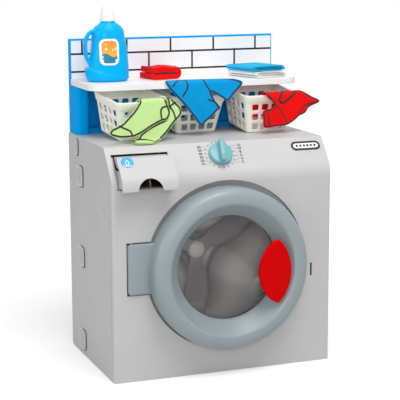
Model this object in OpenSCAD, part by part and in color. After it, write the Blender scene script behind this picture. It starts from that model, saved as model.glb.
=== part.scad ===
// Toy washing machine with a laundry hutch on top.
// Origin: centre of the cabinet's footprint, on the surface it stands on.
// x runs to the right, y to the back, z up.  Millimetres.

/* [Cabinet] */
// Width of the cabinet
cab_w = 440; // [430:1:480]
// Depth of the cabinet, front face to back face
cab_d = 290; // [286:1:340]
// Height of the cabinet's top
cab_h = 436; // [434:1:470]
// Height at which the upright front turns into the sloped fascia
fascia_z = 380; // [376:1:382]
// How far back the fascia leans
fascia_run = 47; // [44:1:52]
// Radius of the bend between front and fascia
fascia_bend_r = 40; // [20:1:44]
// Wall thickness of the moulded panels
wall = 3; // [2.4:0.2:3.6]
// Radius of the upright edges
edge_r = 6; // [4:0.5:9]
// Radius of the rear bottom edge
foot_r = 20; // [10:1:24]
// Width of the strip where the front panel wraps round the sides
wrap = 10; // [8:1:14]
// Gap at the seams between panels
seam = 0.3; // [0.2:0.05:0.5]

/* [Door] */
// Height of the door's centre
door_z = 205.5; // [200:0.5:208]
// Distance of the door's centre to the right of the middle
door_x = 2; // [0:0.5:3]
// Outer radius of the door ring
ring_r = 154; // [148:0.5:156]
// How far the ring stands out from the front
ring_out = 45; // [38:0.5:48]
// Radius of the ring's crest
crest_r = 130; // [126:0.5:133]
// Radius of the opening that the window fills
window_r = 101; // [98:0.5:104]
// Wall thickness of the ring
ring_t = 3; // [2.4:0.2:3.6]
// Height of the window's dome
dome_h = 15; // [8:0.5:17]
// Thickness of the window
window_t = 2.2; // [1.6:0.1:2.6]
// Gap between the ring and its pocket, before the pocket is set off centre
pocket_gap = 7; // [6:0.5:8]
// Depth of the pocket in the front panel
pocket_depth = 14; // [13:0.5:16]
// Height of the hinge block
hinge_h = 97; // [80:1:104]
// Radius of the hinge block's rounded end
knuckle_r = 9; // [8:0.5:9.5]
// Radius of the hinge pin
hinge_pin_r = 2.5; // [2:0.1:3]
// Running clearance of pins and shafts, on the radius
run_gap = 0.05; // [0.03:0.01:0.08]
// Length of the door handle
handle_len = 124; // [110:1:130]
// Width of the door handle
handle_w = 65; // [56:1:68]
// Thickness of the door handle
handle_t = 9; // [7:0.5:11]

/* [Drum] */
// Outer radius of the drum
drum_r = 128; // [120:1:130]
// Depth of the drum
drum_depth = 147; // [130:1:170]
// Wall thickness of the drum
drum_t = 2.5; // [2:0.1:3]
// Number of lifters in the drum
lifter_count = 3; // [2:1:4]
// Height of a lifter
lifter_h = 34; // [24:1:38]
// Gap between the drum and its housing
drum_gap = 8; // [6:0.5:9]
// Radius of the drum's axle
axle_r = 5; // [4:0.25:6]

/* [Controls] */
// Radius of the knob
knob_r = 23; // [20:0.5:24]
// Height of the knob's skirt
knob_h = 9; // [7:0.5:11]
// Height of the grip above the skirt
grip_h = 15; // [11:0.5:18]
// Distance of the knob up the slope from the bend
knob_u = 44; // [40:0.5:46]
// Width of the drawer's opening
drawer_w = 110; // [100:1:112]
// Centre of the drawer, left of the middle
drawer_x = 155; // [154:1:157]
// Top of the drawer's opening, up the slope from the bend
drawer_u = 57; // [50:0.5:60]
// Bottom of the drawer's opening
drawer_z = 363; // [361:0.5:366]
// Depth of the drawer's tray
drawer_d = 118; // [100:1:124]
// How far the drawer stands open at rest
drawer_out = 32; // [10:1:36]
// Clearance between the drawer and its opening
drawer_gap = 1.5; // [1:0.1:2]
// Radius of the drawer's finger notch
notch_r = 24; // [18:0.5:26]

/* [Hutch] */
// How far the hutch stays in from each side of the cabinet
hutch_in = 4; // [3:0.5:10]
// Height of the hutch above the cabinet
hutch_h = 184; // [170:1:200]
// Depth of the pillars
pillar_d = 60; // [50:1:62]
// Width of each pillar
pillar_w = 25; // [20:1:28]
// Depth of the moulded back wall
back_d = 12; // [10:0.5:14]
// Height of the shelf's underside above the cabinet
shelf_lift = 94; // [92:0.5:98]
// Thickness of the shelf
shelf_t = 12; // [10:0.5:14]
// How far the shelf reaches from the back of the cabinet
shelf_d = 153; // [148:1:156]
// Radius of the shelf's front corners
shelf_r = 30; // [20:1:34]

/* [Baskets] */
// Width of a basket at its rim
basket_w = 118; // [110:1:119]
// Depth of a basket at its rim
basket_d = 110; // [104:1:112]
// Height of a basket
basket_h = 77; // [70:0.5:78]
// Inset of the basket's foot at its left and right
basket_taper = 16; // [12:1:20]
// Inset of the basket's foot at its front and back
basket_taper_d = 11; // [8:1:14]
// Wall thickness of a basket
basket_t = 2.2; // [1.8:0.1:2.6]
// Height of the basket's rim band
rim_h = 15; // [11:0.5:16]
// Radius of the basket's corners at its foot
basket_foot_r = 9; // [7:0.5:11]
// Radius of the basket's corners at its rim
basket_rim_r = 15; // [13:0.5:19]

/* [Bottle] */
// Height of the bottle without its cap
bottle_h = 115; // [105:1:120]
// Half width of the bottle's foot
bottle_a = 45; // [42:0.5:46]
// Half depth of the bottle's foot
bottle_b = 28; // [24:0.5:30]
// Height of the cap
cap_h = 34; // [28:0.5:36]

/* [Hidden] */

$fn = 96;
eps = 0.01;
rest_gap = 0.3;                    // a piece that rests on another lies this far off it
soft_fn = 32;                      // roundness of hulled, faceted shapes

// ---- cabinet outline, in the y-z plane
front_y = -cab_d / 2;
back_y = cab_d / 2;
fascia_rise = cab_h - fascia_z;
fascia_a = atan2(fascia_rise, fascia_run);          // slope of the fascia, from level
bend_turn = 90 - fascia_a;
bend_y = front_y + fascia_bend_r;                   // centre of the bend
bend_cz = fascia_z - fascia_bend_r * tan(bend_turn / 2);
brow_r = 5;                                         // rounding of the fascia's top edge
brow_y = front_y + fascia_run + brow_r * tan(fascia_a / 2);
top_r = 6;                                          // rounding of the rear top edge

function arc(cy, cz, r, a0, a1, n) =
    [for (i = [0:n]) let (a = a0 + (a1 - a0) * i / n) [cy + r * cos(a), cz + r * sin(a)]];

// outline inset by d all round
function cabinet_outline(d) = concat(
    [[front_y + d, d]],
    arc(bend_y, bend_cz, fascia_bend_r - d, 180, 180 - bend_turn, 8),
    arc(brow_y, cab_h - brow_r, brow_r - d, 90 + fascia_a, 90, 5),
    arc(back_y - top_r, cab_h - top_r, top_r - d, 90, 0, 4),
    arc(back_y - foot_r, foot_r, foot_r - d, 0, -90, 6));

// the part of the y-z plane that lies more than d behind the front and the fascia
far = 60;
function behind_front(d) = concat(
    [[front_y + d, -far]],
    arc(bend_y, bend_cz, fascia_bend_r - d, 180, 180 - bend_turn, 8),
    [[front_y + d * sin(fascia_a) + (far + fascia_rise + d * cos(fascia_a)) / tan(fascia_a),
      cab_h + far]],
    [[back_y + far, cab_h + far], [back_y + far, -far]]);

// y-z shapes pushed along x
module along_x(x0, x1) {
    translate([x0, 0, 0]) rotate([90, 0, 90]) linear_extrude(x1 - x0) children();
}
module rounded_rect(w, h, r) {
    square([w - 2 * r, h], center = true);
    square([w, h - 2 * r], center = true);
    for (x = [-1, 1], y = [-1, 1])
        translate([x * (w / 2 - r), y * (h / 2 - r)]) circle(r);
}
module rod_y(x, z, r, y0, y1) {
    translate([x, y0, z]) rotate([-90, 0, 0]) cylinder(r = r, h = y1 - y0);
}
module block(x0, x1, y0, y1, z0, z1) {
    translate([x0, y0, z0]) cube([x1 - x0, y1 - y0, z1 - z0]);
}
// cabinet shape, inset by d
module cabinet_solid(d) {
    intersection() {
        along_x(-cab_w / 2 + d, cab_w / 2 - d) polygon(cabinet_outline(d));
        translate([0, 0, -1]) linear_extrude(cab_h + 2)
            rounded_rect(cab_w - 2 * d, cab_d - 2 * d, edge_r - d);
    }
}
module cabinet_shell() {
    difference() {
        cabinet_solid(0);
        cabinet_solid(wall);
    }
}
rear_y = back_y - wrap;                             // seam round the back panel
module middle_zone(d) {
    intersection() {
        along_x(-cab_w, cab_w) polygon(behind_front(wrap + d));
        block(-cab_w, cab_w, -cab_d, rear_y - d, -far, cab_h + far);
    }
}
inner_w = cab_w / 2 - wall;

// ---- places on the fascia: local z points out of it, local y runs up it
module on_fascia(x, u) {
    translate([x, front_y + u * cos(fascia_a), fascia_z + u * sin(fascia_a)])
        rotate([fascia_a, 0, 0]) children();
}

// ---- door values
pocket_r = ring_r + pocket_gap;
pocket_x = door_x + 2.3;
pocket_z = door_z + 3;
pocket_floor = front_y + pocket_depth;
pocket_wall = 2.5;
mouth_r = window_r + 17;
hinge_x = door_x - ring_r - 31;
hinge_y = front_y + 4;
hinge_z0 = door_z + 9 - hinge_h / 2;
hinge_z1 = hinge_z0 + hinge_h;
hinge_gap = 1.5;
hinge_left = hinge_x - knuckle_r - hinge_gap;
ring_back = -2;                                     // the ring's back edge, measured out of the front
seat_h = 13;                                        // where the funnel meets the window
rim_in = 4;                                         // window's flange reaches this far under the ring
window_h = seat_h - ring_t - rest_gap - window_t;   // underside of the window's flange

// surface of the ring's front, inset by d: radius and height out of the front
shoulder_h = 27;
lip_w = 14;
lip_h = 34;
function ring_line(d) = concat(
    [[ring_r - d, ring_back]],
    [for (i = [0:10]) let (a = i * 9)
        [crest_r + (ring_r - crest_r - d) * cos(a), shoulder_h + (ring_out - shoulder_h - d) * sin(a)]],
    [for (i = [1:6]) let (a = i * 15)
        [crest_r - (lip_w - d) * sin(a), lip_h + (ring_out - lip_h - d) * cos(a)]]);

// ---- drum values
mouth_y = pocket_floor + wall;                      // back of the pocket's floor
drum_y0 = mouth_y + 6;
drum_y1 = drum_y0 + drum_depth;
housing_r = drum_r + drum_gap;
housing_t = 3;
housing_back = drum_y1 + drum_gap;
housing_flange = 14;
hub_r = 20;
hub_len = 16;
bush_r = axle_r + 3;
axle_end = housing_back + housing_t + 14;
housing_screw_r = 2;

// ---- drawer values
tray_z = drawer_z + 5;
tray_wall = 2;
tray_h = 30;
front_w = drawer_w - 2 * drawer_gap;
sleeve_gap = 0.4;
sleeve_wall = 2;
sleeve_flange = 5;                                  // how far the housing's flange reaches past the opening

// ---- control values
shaft_r = 3;
neck_r = 4.2;
switch_body = 28;
switch_h = 16;
knob_x = 2;
badge_x = 181;

// ---- back values
module on_back(x, z) {
    translate([x, back_y - wall, z]) rotate([90, 0, 0]) children();
}
battery_x = -(cab_w / 2 - 108);
battery_z = cab_h - 64;
battery_w = 78;
battery_h = 60;
battery_d = 20;
cell_r = 7.1;
cell_len = 50;
cell_pitch = 2 * cell_r + 1.5;                      // from one battery to the next
boss_len = 6.5;                                     // boss of the battery cover's screw
lid_gap = 0.5;
speaker_x = cab_w / 2 - 110;
speaker_z = cab_h - 64;
speaker_r = 27;
magnet_r = 14;
cone_tip_r = magnet_r + 1;            // the speaker's cone where the magnet meets it
board_x = 5;
board_z = cab_h - 46;
board_w = 70;
board_h = 48;
standoff = 8;
slider_x = -22;
slider_z = cab_h - 96;
slider_w = 8;
slider_travel = 3;

// ---- hutch values
hutch_z = cab_h;
hutch_w = cab_w - 2 * hutch_in;
splash_y = back_y - back_d;                         // front of the back wall
pillar_y = back_y - pillar_d;
sheet_t = 0.5;
shelf_z = hutch_z + shelf_lift;
shelf_top = shelf_z + shelf_t;
shelf_in = 1;                           // the shelf's ends stay this far in from the hutch's sides
shelf_w = hutch_w - 2 * shelf_in;
shelf_front = back_y - 2 - shelf_d;
plinth_h = 10;
plinth_y = back_y - 43;
screw_r = 2;
screw_x = hutch_w / 2 - pillar_w / 2;
hutch_screw_x = hutch_w / 2 - pillar_w - 30;

// ================================================================ cabinet
cabinet_grey = [0.80, 0.80, 0.79];
module drawer_opening() {
    // the opening follows the fascia, so it is cut straight back through both faces
    top_z = fascia_z + drawer_u * sin(fascia_a);
    block(-drawer_x - drawer_w / 2, -drawer_x + drawer_w / 2,
          front_y - 1, front_y + fascia_run, drawer_z, top_z);
}
module pocket_shape(grow, y0, y1) {
    rod_y(pocket_x, pocket_z, pocket_r + grow, y0, y1);
    block(hinge_left - grow, pocket_x - pocket_r * 0.75, y0, y1,
          hinge_z0 - hinge_gap - grow, hinge_z1 + hinge_gap + grow);
}
catch_x = pocket_x + pocket_r;
catch_z = door_z - 21;
catch_h = 25;
module front_panel() {
    color(cabinet_grey) difference() {
        union() {
            difference() {
                intersection() {
                    cabinet_shell();
                    difference() {
                        along_x(-cab_w, cab_w) polygon(behind_front(-far / 2));
                        along_x(-cab_w - 1, cab_w + 1) polygon(behind_front(wrap));
                    }
                }
                pocket_shape(0, front_y - 1, front_y + wall + 1);
            }
            // pocket round the door, with its floor
            difference() {
                pocket_shape(pocket_wall, front_y + wall - eps, mouth_y);
                pocket_shape(0, front_y - 1, pocket_floor);
                rod_y(door_x, door_z, mouth_r, pocket_floor - 1, mouth_y + 1);
            }
        }
        drawer_opening();
        on_fascia(knob_x, knob_u) translate([0, 0, -wall - 1]) cylinder(r = neck_r + 0.3, h = wall + 2);
        // bores that hold the hinge pin's ends
        translate([hinge_x, hinge_y, hinge_z0 - hinge_gap - pocket_wall - 1])
            cylinder(r = hinge_pin_r, h = hinge_h + 2 * (hinge_gap + pocket_wall + 1));
        // slot that the catch comes through
        block(catch_x - 4, catch_x + 17, front_y + 2.5 + wall, front_y + 8.5 + wall,
              catch_z - catch_h / 2, catch_z + catch_h / 2);
        block(catch_x + 12, catch_x + 16, front_y - 1, front_y + wall + 1,
              catch_z - catch_h / 2, catch_z + catch_h / 2);
        // holes for the housing's screws
        for (a = [45:90:315])
            rod_y(door_x + (housing_r + housing_flange / 2) * cos(a),
                  door_z + (housing_r + housing_flange / 2) * sin(a),
                  housing_screw_r, pocket_floor - 1, mouth_y + 1);
    }
}
// raised strip near the front edge of each side
strip_y0 = front_y + wrap + 2;
strip_w = 64;
strip_z0 = 68;
strip_z1 = 312;
strip_t = 1;
module side_strip(x) {
    along_x(x, x + strip_t) polygon([[strip_y0, strip_z0], [strip_y0 + strip_w, strip_z0],
        [strip_y0 + strip_w, strip_z1 + 12], [strip_y0, strip_z1 - 10]]);
}
module side_plate(x0, x1) {
    intersection() {
        cabinet_shell();
        middle_zone(seam);
        block(x0, x1, -cab_d, cab_d, -1, cab_h + 1);
    }
}
module side_left() {
    color(cabinet_grey) {
        side_plate(-cab_w / 2 - 1, -inner_w);
        side_strip(-cab_w / 2 - strip_t);
    }
}
module side_right() {
    color(cabinet_grey) {
        side_plate(inner_w, cab_w / 2 + 1);
        side_strip(cab_w / 2);
    }
}
module top_panel() {
    color(cabinet_grey) difference() {
        union() {
            intersection() {
                cabinet_shell();
                middle_zone(seam);
                block(-inner_w + seam, inner_w - seam, -cab_d, cab_d, cab_h - wall, cab_h + 1);
            }
            for (x = [-1, 1]) translate([x * hutch_screw_x, plinth_y + 20, cab_h - wall - 12])
                cylinder(r = 5, h = 12 + eps);
        }
        for (x = [-1, 1]) translate([x * hutch_screw_x, plinth_y + 20, cab_h - wall - 13])
            cylinder(r = screw_r, h = wall + 14);
    }
}
module base_panel() {
    color(cabinet_grey) intersection() {
        cabinet_shell();
        middle_zone(seam);
        block(-inner_w + seam, inner_w - seam, -cab_d, cab_d, -1, wall);
    }
}
panel_screw_x = cab_w / 2 - 22;
panel_screw_z = [40, cab_h / 2, cab_h - 40];
module back_panel() {
    color(cabinet_grey) difference() {
        union() {
            intersection() {
                cabinet_shell();
                block(-cab_w, cab_w, rear_y, back_y + 1, -1, cab_h + 1);
            }
            // standoffs of the sound board
            for (x = [-1, 1], z = [-1, 1])
                on_back(board_x + x * (board_w / 2 - 5), board_z + z * (board_h / 2 - 5))
                    translate([0, 0, -eps]) cylinder(r = 3, h = standoff);
        }
        // battery opening and the seat of its cover
        block(battery_x - battery_w / 2, battery_x + battery_w / 2, back_y - wall - 1, back_y + 1,
              battery_z - battery_h / 2, battery_z + battery_h / 2);
        block(battery_x - battery_w / 2 - 4, battery_x + battery_w / 2 + 4, back_y - 1.6, back_y + 1,
              battery_z - battery_h / 2 - 4, battery_z + battery_h / 2 + 4);
        // sound holes
        for (i = [0:17])
            rod_y(speaker_x + 7 * (i < 6 ? 1 : 2) * cos(i < 6 ? i * 60 : i * 30),
                  speaker_z + 7 * (i < 6 ? 1 : 2) * sin(i < 6 ? i * 60 : i * 30),
                  1.8, back_y - wall - 1, back_y + 1);
        // slot of the power slider
        block(slider_x - slider_w / 2 - slider_travel - 0.5, slider_x + slider_w / 2 + slider_travel + 0.5,
              back_y - wall - 1, back_y + 1, slider_z - 3, slider_z + 3);
        for (x = [-1, 1], z = panel_screw_z)
            rod_y(x * panel_screw_x, z, screw_r, back_y - wall - 1, back_y + 1);
    }
}
module panel_screws() {
    color([0.6, 0.6, 0.62]) for (x = [-1, 1], z = panel_screw_z) {
        rod_y(x * panel_screw_x, z, screw_r - run_gap, back_y - 14, back_y + eps);
        rod_y(x * panel_screw_x, z, 4, back_y, back_y + 1.8);
    }
}
// snap pads along the rear of each side: centre y, centre z, width, height
pads = [[back_y - 85, 32, 44, 42], [back_y - 85, cab_h / 2 - 18, 44, 42], [back_y - 85, cab_h - 76, 44, 42],
        [back_y - 65, cab_h - 22, 24, 34]];
pad_t = 2;
module snap_pads(x) {
    for (p = pads) translate([x, p[0], p[1]]) rotate([90, 0, 90]) linear_extrude(pad_t)
        rounded_rect(p[2], p[3], 9);
}
module snap_covers_left() {
    color([0.74, 0.74, 0.74]) snap_pads(-cab_w / 2 - pad_t);
}
module snap_covers_right() {
    color([0.74, 0.74, 0.74]) snap_pads(cab_w / 2);
}

// ================================================================ drum
drum_grey = [0.52, 0.50, 0.49];
module turned(pts) {
    // points are radius and y; turned about the drum's axis
    translate([door_x, 0, door_z]) rotate([-90, 0, 0]) rotate_extrude() polygon(pts);
}
module drum_housing() {
    r1 = housing_r;
    r2 = housing_r + housing_t;
    color([0.66, 0.66, 0.66]) difference() {
        turned([[r1, mouth_y], [r1 + housing_flange, mouth_y], [r1 + housing_flange, mouth_y + housing_t],
                [r2, mouth_y + housing_t], [r2, housing_back + housing_t], [hub_r + 6, housing_back + housing_t],
                [hub_r, axle_end - 2], [bush_r, axle_end - 2], [bush_r, housing_back], [r1, housing_back]]);
        for (a = [45:90:315])
            rod_y(door_x + (housing_r + housing_flange / 2) * cos(a),
                  door_z + (housing_r + housing_flange / 2) * sin(a),
                  housing_screw_r, mouth_y - 1, mouth_y + housing_t + 1);
    }
}
module housing_screws() {
    color([0.6, 0.6, 0.62]) for (a = [45:90:315]) {
        x = door_x + (housing_r + housing_flange / 2) * cos(a);
        z = door_z + (housing_r + housing_flange / 2) * sin(a);
        rod_y(x, z, housing_screw_r - run_gap, pocket_floor + 0.5, mouth_y + housing_t + eps);
        rod_y(x, z, 3.8, mouth_y + housing_t, mouth_y + housing_t + 2);
    }
}
lip_in = 8;                                         // the drum's mouth turns in by this much
module drum() {
    r = drum_r;
    color(drum_grey) difference() {
        union() {
            turned([[r - lip_in, drum_y0], [r - 3, drum_y0], [r, drum_y0 + 3], [r, drum_y1 - 20],
                    [r - 20, drum_y1], [0, drum_y1], [0, drum_y1 - drum_t], [r - 21, drum_y1 - drum_t],
                    [r - drum_t, drum_y1 - 21], [r - drum_t, drum_y0 + 4], [r - lip_in, drum_y0 + drum_t]]);
            // hub on the back wall, and its cap inside
            rod_y(door_x, door_z, hub_r - 4, drum_y1 - hub_len, drum_y1 - eps);
            for (i = [0:lifter_count - 1])
                translate([door_x, 0, door_z]) rotate([0, 90 + i * 360 / lifter_count, 0])
                    translate([-r + drum_t - 0.5, 0, 0]) lifter();
        }
        rod_y(door_x, door_z, axle_r, drum_y1 - hub_len + 4, drum_y1 + 1);
    }
}
// one paddle, its foot on the drum's wall and its ridge towards the axis
module lifter() {
    y0 = drum_y0 + 30;
    y1 = drum_y1 - 24;
    foot = 44;
    ridge = 16;
    translate([0, y1, 0]) rotate([90, 0, 0]) linear_extrude(y1 - y0)
        polygon([[0, -foot], [lifter_h * 0.35, -foot * 0.62], [lifter_h - 3, -ridge], [lifter_h, -ridge + 5],
                 [lifter_h, ridge - 5], [lifter_h - 3, ridge], [lifter_h * 0.35, foot * 0.62], [0, foot]]);
}
module drum_axle() {
    color([0.75, 0.75, 0.76]) rod_y(door_x, door_z, axle_r, drum_y1 - hub_len + 4, axle_end + 5);
}
module drum_bush() {
    color([0.92, 0.92, 0.88]) difference() {
        union() {
            rod_y(door_x, door_z, bush_r, housing_back, axle_end);
            rod_y(door_x, door_z, bush_r + 4, housing_back - 2, housing_back);
        }
        rod_y(door_x, door_z, axle_r + run_gap, housing_back - 3, axle_end + 1);
    }
}
module axle_clip() {
    color([0.6, 0.6, 0.62]) difference() {
        rod_y(door_x, door_z, axle_r + 5, axle_end + rest_gap, axle_end + 2);
        rod_y(door_x, door_z, axle_r, axle_end - 1, axle_end + 3);
    }
}

// ================================================================ door
door_grey = [0.60, 0.68, 0.69];
module ring_turned(pts) {
    // points are radius and height out of the front face; turned about the door's axis
    translate([door_x, front_y, door_z]) rotate([90, 0, 0]) rotate_extrude() polygon(pts);
}
module door_ring() {
    outer = ring_line(0);
    inner = ring_line(ring_t);
    n = len(inner) - 1;
    seat = [[window_r, seat_h], [window_r, seat_h - ring_t], [window_r + rim_in + 3, seat_h - ring_t],
            [window_r + rim_in + 3, seat_h]];
    color(door_grey) difference() {
        union() {
            ring_turned(concat(outer, seat, [for (i = [0:n]) inner[n - i]]));
            difference() {
                union() {
                    translate([hinge_x, hinge_y, hinge_z0]) cylinder(r = knuckle_r, h = hinge_h);
                    block(hinge_x, door_x - ring_r * 0.84, hinge_y - knuckle_r, hinge_y + ring_back + 2,
                          hinge_z0, hinge_z1);
                    // ramp from the block to the knuckle's back
                    block(hinge_x, hinge_x + knuckle_r + 6, hinge_y, hinge_y + 5, hinge_z0, hinge_z1);
                }
                rod_y(door_x, door_z, ring_r - ring_t, front_y - ring_out, back_y);
            }
        }
        translate([hinge_x, hinge_y, hinge_z0 - 1]) cylinder(r = hinge_pin_r + run_gap, h = hinge_h + 2);
    }
}
back_ring_r = ring_r - ring_t - rest_gap;
module door_back_ring() {
    in_r = window_r + rim_in + 3;                   // inner tube that presses on the window's flange
    color([0.56, 0.64, 0.65]) ring_turned([
        [back_ring_r, ring_back], [back_ring_r, ring_back + ring_t], [in_r + ring_t, ring_back + ring_t],
        [in_r + ring_t, window_h], [window_r - 3, window_h], [window_r - 3, window_h - ring_t],
        [in_r, window_h - ring_t], [in_r, ring_back]]);
}
flange_r = window_r + rim_in;
dome_r = window_r - 2;                              // radius of the dome's foot
dome_ball = (dome_r * dome_r + dome_h * dome_h) / (2 * dome_h);
dome_half = asin(dome_r / dome_ball);
function dome(d) = [for (i = [0:12]) let (a = dome_half * (1 - i / 12))
    [(dome_ball - d) * sin(a), window_h + window_t + dome_h - dome_ball + (dome_ball - d) * cos(a)]];
module door_window() {
    inside = dome(window_t);
    color([0.85, 0.90, 0.92, 0.35]) ring_turned(concat(
        [[flange_r, window_h], [flange_r, window_h + window_t]], dome(0),
        [for (i = [0:12]) inside[12 - i]], [[dome_r - window_t, window_h]]));
}
// lens-shaped grip on the right of the ring, bridging the funnel and the edge of the window
handle_x = door_x + 83;
handle_z = door_z - 7;
bulge_in = handle_w * 0.58;                         // the grip's inner side bulges further
bulge_out = handle_w - bulge_in;
function lens_r(b) = (handle_len * handle_len / 4 + b * b) / (2 * b);
module lens(grow, y0, y1) {
    intersection() {
        rod_y(handle_x + bulge_out + 3 - lens_r(bulge_out), handle_z, lens_r(bulge_out) + grow, y0, y1);
        rod_y(handle_x + 3 - bulge_in + lens_r(bulge_in), handle_z, lens_r(bulge_in) + grow, y0, y1);
        rod_y(handle_x + 3, handle_z, handle_len / 2 - 5 + grow, y0, y1);
    }
}
handle_y0 = front_y - ring_out - 2;
module door_handle() {
    color([0.85, 0.02, 0.04]) {
        lens(0, handle_y0, handle_y0 + handle_t);
        // foot that reaches back to the funnel
        difference() {
            intersection() {
                lens(-4, handle_y0 + handle_t - eps, front_y - seat_h);
                rod_y(door_x, door_z, crest_r, handle_y0, front_y);
            }
            rod_y(door_x, door_z, window_r + 6, handle_y0, front_y);
            ring_turned(concat([[crest_r + 20, ring_out + 5]],
                [for (i = [3:6]) ring_line(-rest_gap)[10 + i]],
                [[window_r - rest_gap, seat_h + rest_gap], [window_r - rest_gap, 0], [crest_r + 20, 0]]));
        }
    }
}
module hinge_pin() {
    color([0.75, 0.75, 0.76])
        translate([hinge_x, hinge_y, hinge_z0 - hinge_gap - pocket_wall])
            cylinder(r = hinge_pin_r, h = hinge_h + 2 * (hinge_gap + pocket_wall));
}
// springy catch behind the front panel; its nose reaches into the pocket beside the ring
module door_catch() {
    y0 = front_y + wall + 3;
    y1 = y0 + 5;
    z0 = catch_z - catch_h / 2 + 0.5;
    z1 = catch_z + catch_h / 2 - 0.5;
    color([0.35, 0.37, 0.38]) {
        block(door_x + ring_r + 3, catch_x + 16, y0, y1, z0, z1);
        block(catch_x + pocket_wall + 1, catch_x + 16, y0, front_y + pocket_depth, z0, z1);
        block(catch_x + 12.4, catch_x + 15.6, front_y + 0.8, y0 + eps, z0, z1);
    }
}

// ================================================================ drawer
module drawer_front_shape(d) {
    intersection() {
        difference() {
            polygon(behind_front(d));
            polygon(behind_front(d + wall));
        }
        translate([front_y - 1, drawer_z + drawer_gap])
            square([fascia_run, drawer_u * sin(fascia_a) + fascia_z - drawer_z - 2 * drawer_gap]);
    }
}
module drawer_body_shape() {
    // side view of the tray, closed
    intersection() {
        polygon(behind_front(wall - eps));
        translate([front_y, tray_z]) square([drawer_d + wall, tray_h]);
    }
}
tray_w = front_w - 2 * sleeve_wall - 2;
module tray_bays() {
    // two bays side by side, open at the top
    bay_w = (tray_w - 3 * tray_wall) / 2;
    for (s = [-1, 1])
        translate([-drawer_x + s * (bay_w + tray_wall) / 2 - bay_w / 2, front_y + wall, tray_z + tray_wall])
            cube([bay_w, drawer_d - tray_wall, tray_h + 1]);
}
module drawer_tray() {
    color([0.89, 0.89, 0.88]) translate([0, -drawer_out, 0]) {
        difference() {
            along_x(-drawer_x - front_w / 2, -drawer_x + front_w / 2) drawer_front_shape(0);
            rod_y(-drawer_x, drawer_z, notch_r, front_y - 1, front_y + fascia_run);
        }
        difference() {
            along_x(-drawer_x - tray_w / 2, -drawer_x + tray_w / 2) drawer_body_shape();
            tray_bays();
        }
    }
}
module drawer_housing() {
    inside_w = tray_w + 2 * sleeve_gap;
    flange_w = drawer_w + 2 * sleeve_flange;
    color([0.72, 0.72, 0.72]) difference() {
        union() {
            along_x(-drawer_x - inside_w / 2 - sleeve_wall, -drawer_x + inside_w / 2 + sleeve_wall)
                intersection() {
                    polygon(behind_front(wall + rest_gap));
                    translate([front_y, tray_z - sleeve_gap - sleeve_wall])
                        square([drawer_d + wall + 8, tray_h + 4]);
                }
            // flange that lies behind the front panel, round the opening
            along_x(-drawer_x - flange_w / 2, -drawer_x + flange_w / 2) intersection() {
                difference() {
                    polygon(behind_front(wall + rest_gap));
                    polygon(behind_front(wall + rest_gap + sleeve_wall));
                }
                translate([front_y, drawer_z - sleeve_flange])
                    square([fascia_run, fascia_z + drawer_u * sin(fascia_a) - drawer_z]);
            }
        }
        block(-drawer_x - inside_w / 2, -drawer_x + inside_w / 2, front_y, front_y + drawer_d + wall + 4,
              tray_z - sleeve_gap, cab_h);
        rod_y(-drawer_x, drawer_z, notch_r + 1, front_y, front_y + wall + 12);
    }
}

// ================================================================ controls
knob_blue = [0.52, 0.80, 0.84];
module knob() {
    color(knob_blue) on_fascia(knob_x, knob_u) rotate([0, 0, -6]) difference() {
        union() {
            translate([0, 0, 0.5]) rotate_extrude()
                polygon([[0, 0], [knob_r, 0], [knob_r, knob_h - 2.5], [knob_r - 0.8, knob_h - 0.8],
                         [knob_r - 2.5, knob_h], [0, knob_h]]);
            intersection() {
                translate([-5, -knob_r, knob_h - 1]) cube([10, 2 * knob_r, grip_h + 1]);
                cylinder(r = knob_r - 0.5, h = knob_h + grip_h + 2);
                translate([-6, 0, knob_h + grip_h - 42]) rotate([0, 90, 0]) cylinder(r = 42, h = 12);
            }
        }
        translate([0, 0, -1]) cylinder(r = shaft_r, h = knob_h + 3);
    }
}
module switch_shaft() {
    color([0.7, 0.7, 0.7]) on_fascia(knob_x, knob_u)
        translate([0, 0, -wall - switch_h + 4]) cylinder(r = shaft_r, h = wall + switch_h + knob_h - 2);
}
module rotary_switch() {
    color([0.30, 0.30, 0.32]) on_fascia(knob_x, knob_u) difference() {
        union() {
            translate([-switch_body / 2, -switch_body / 2, -wall - rest_gap - switch_h])
                cube([switch_body, switch_body, switch_h]);
            translate([0, 0, -wall - rest_gap - eps]) cylinder(r = neck_r, h = wall);
        }
        translate([0, 0, -wall - switch_h + 3.5]) cylinder(r = shaft_r + run_gap, h = wall + switch_h);
    }
}
module sound_board() {
    color([0.10, 0.40, 0.22]) on_back(board_x, board_z) translate([0, 0, standoff]) {
        translate([-board_w / 2, -board_h / 2, 0]) cube([board_w, board_h, 1.6]);
        translate([-12, -6, 1.6 - eps]) cube([14, 10, 3]);
        translate([10, 6, 1.6 - eps]) cylinder(r = 4, h = 9);
        translate([20, -14, 1.6 - eps]) cube([10, 6, 6]);
        translate([-30, 8, 1.6 - eps]) cube([10, 6, 6]);
    }
}
module speaker() {
    color([0.15, 0.15, 0.16]) on_back(speaker_x, speaker_z) {
        difference() {
            cylinder(r = speaker_r, h = 4);
            translate([0, 0, -1]) cylinder(r = speaker_r - 4, h = 3);
        }
        translate([0, 0, 4 - eps]) cylinder(r1 = speaker_r - 3, r2 = cone_tip_r, h = 8);
        translate([0, 0, 12 - 2 * eps]) cylinder(r = magnet_r, h = 6);
    }
}
module battery_box() {
    w = battery_w - 1;
    h = battery_h - 1;
    color([0.78, 0.78, 0.78]) on_back(battery_x, battery_z) difference() {
        union() {
            translate([-w / 2 - 5, -h / 2 - 5, rest_gap]) cube([w + 10, h + 10, 2]);
            translate([-w / 2 - 2, -h / 2 - 2, rest_gap]) cube([w + 4, h + 4, battery_d]);
        }
        translate([-w / 2, -h / 2, -1]) cube([w, h, battery_d - 1]);
    }
}
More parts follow.
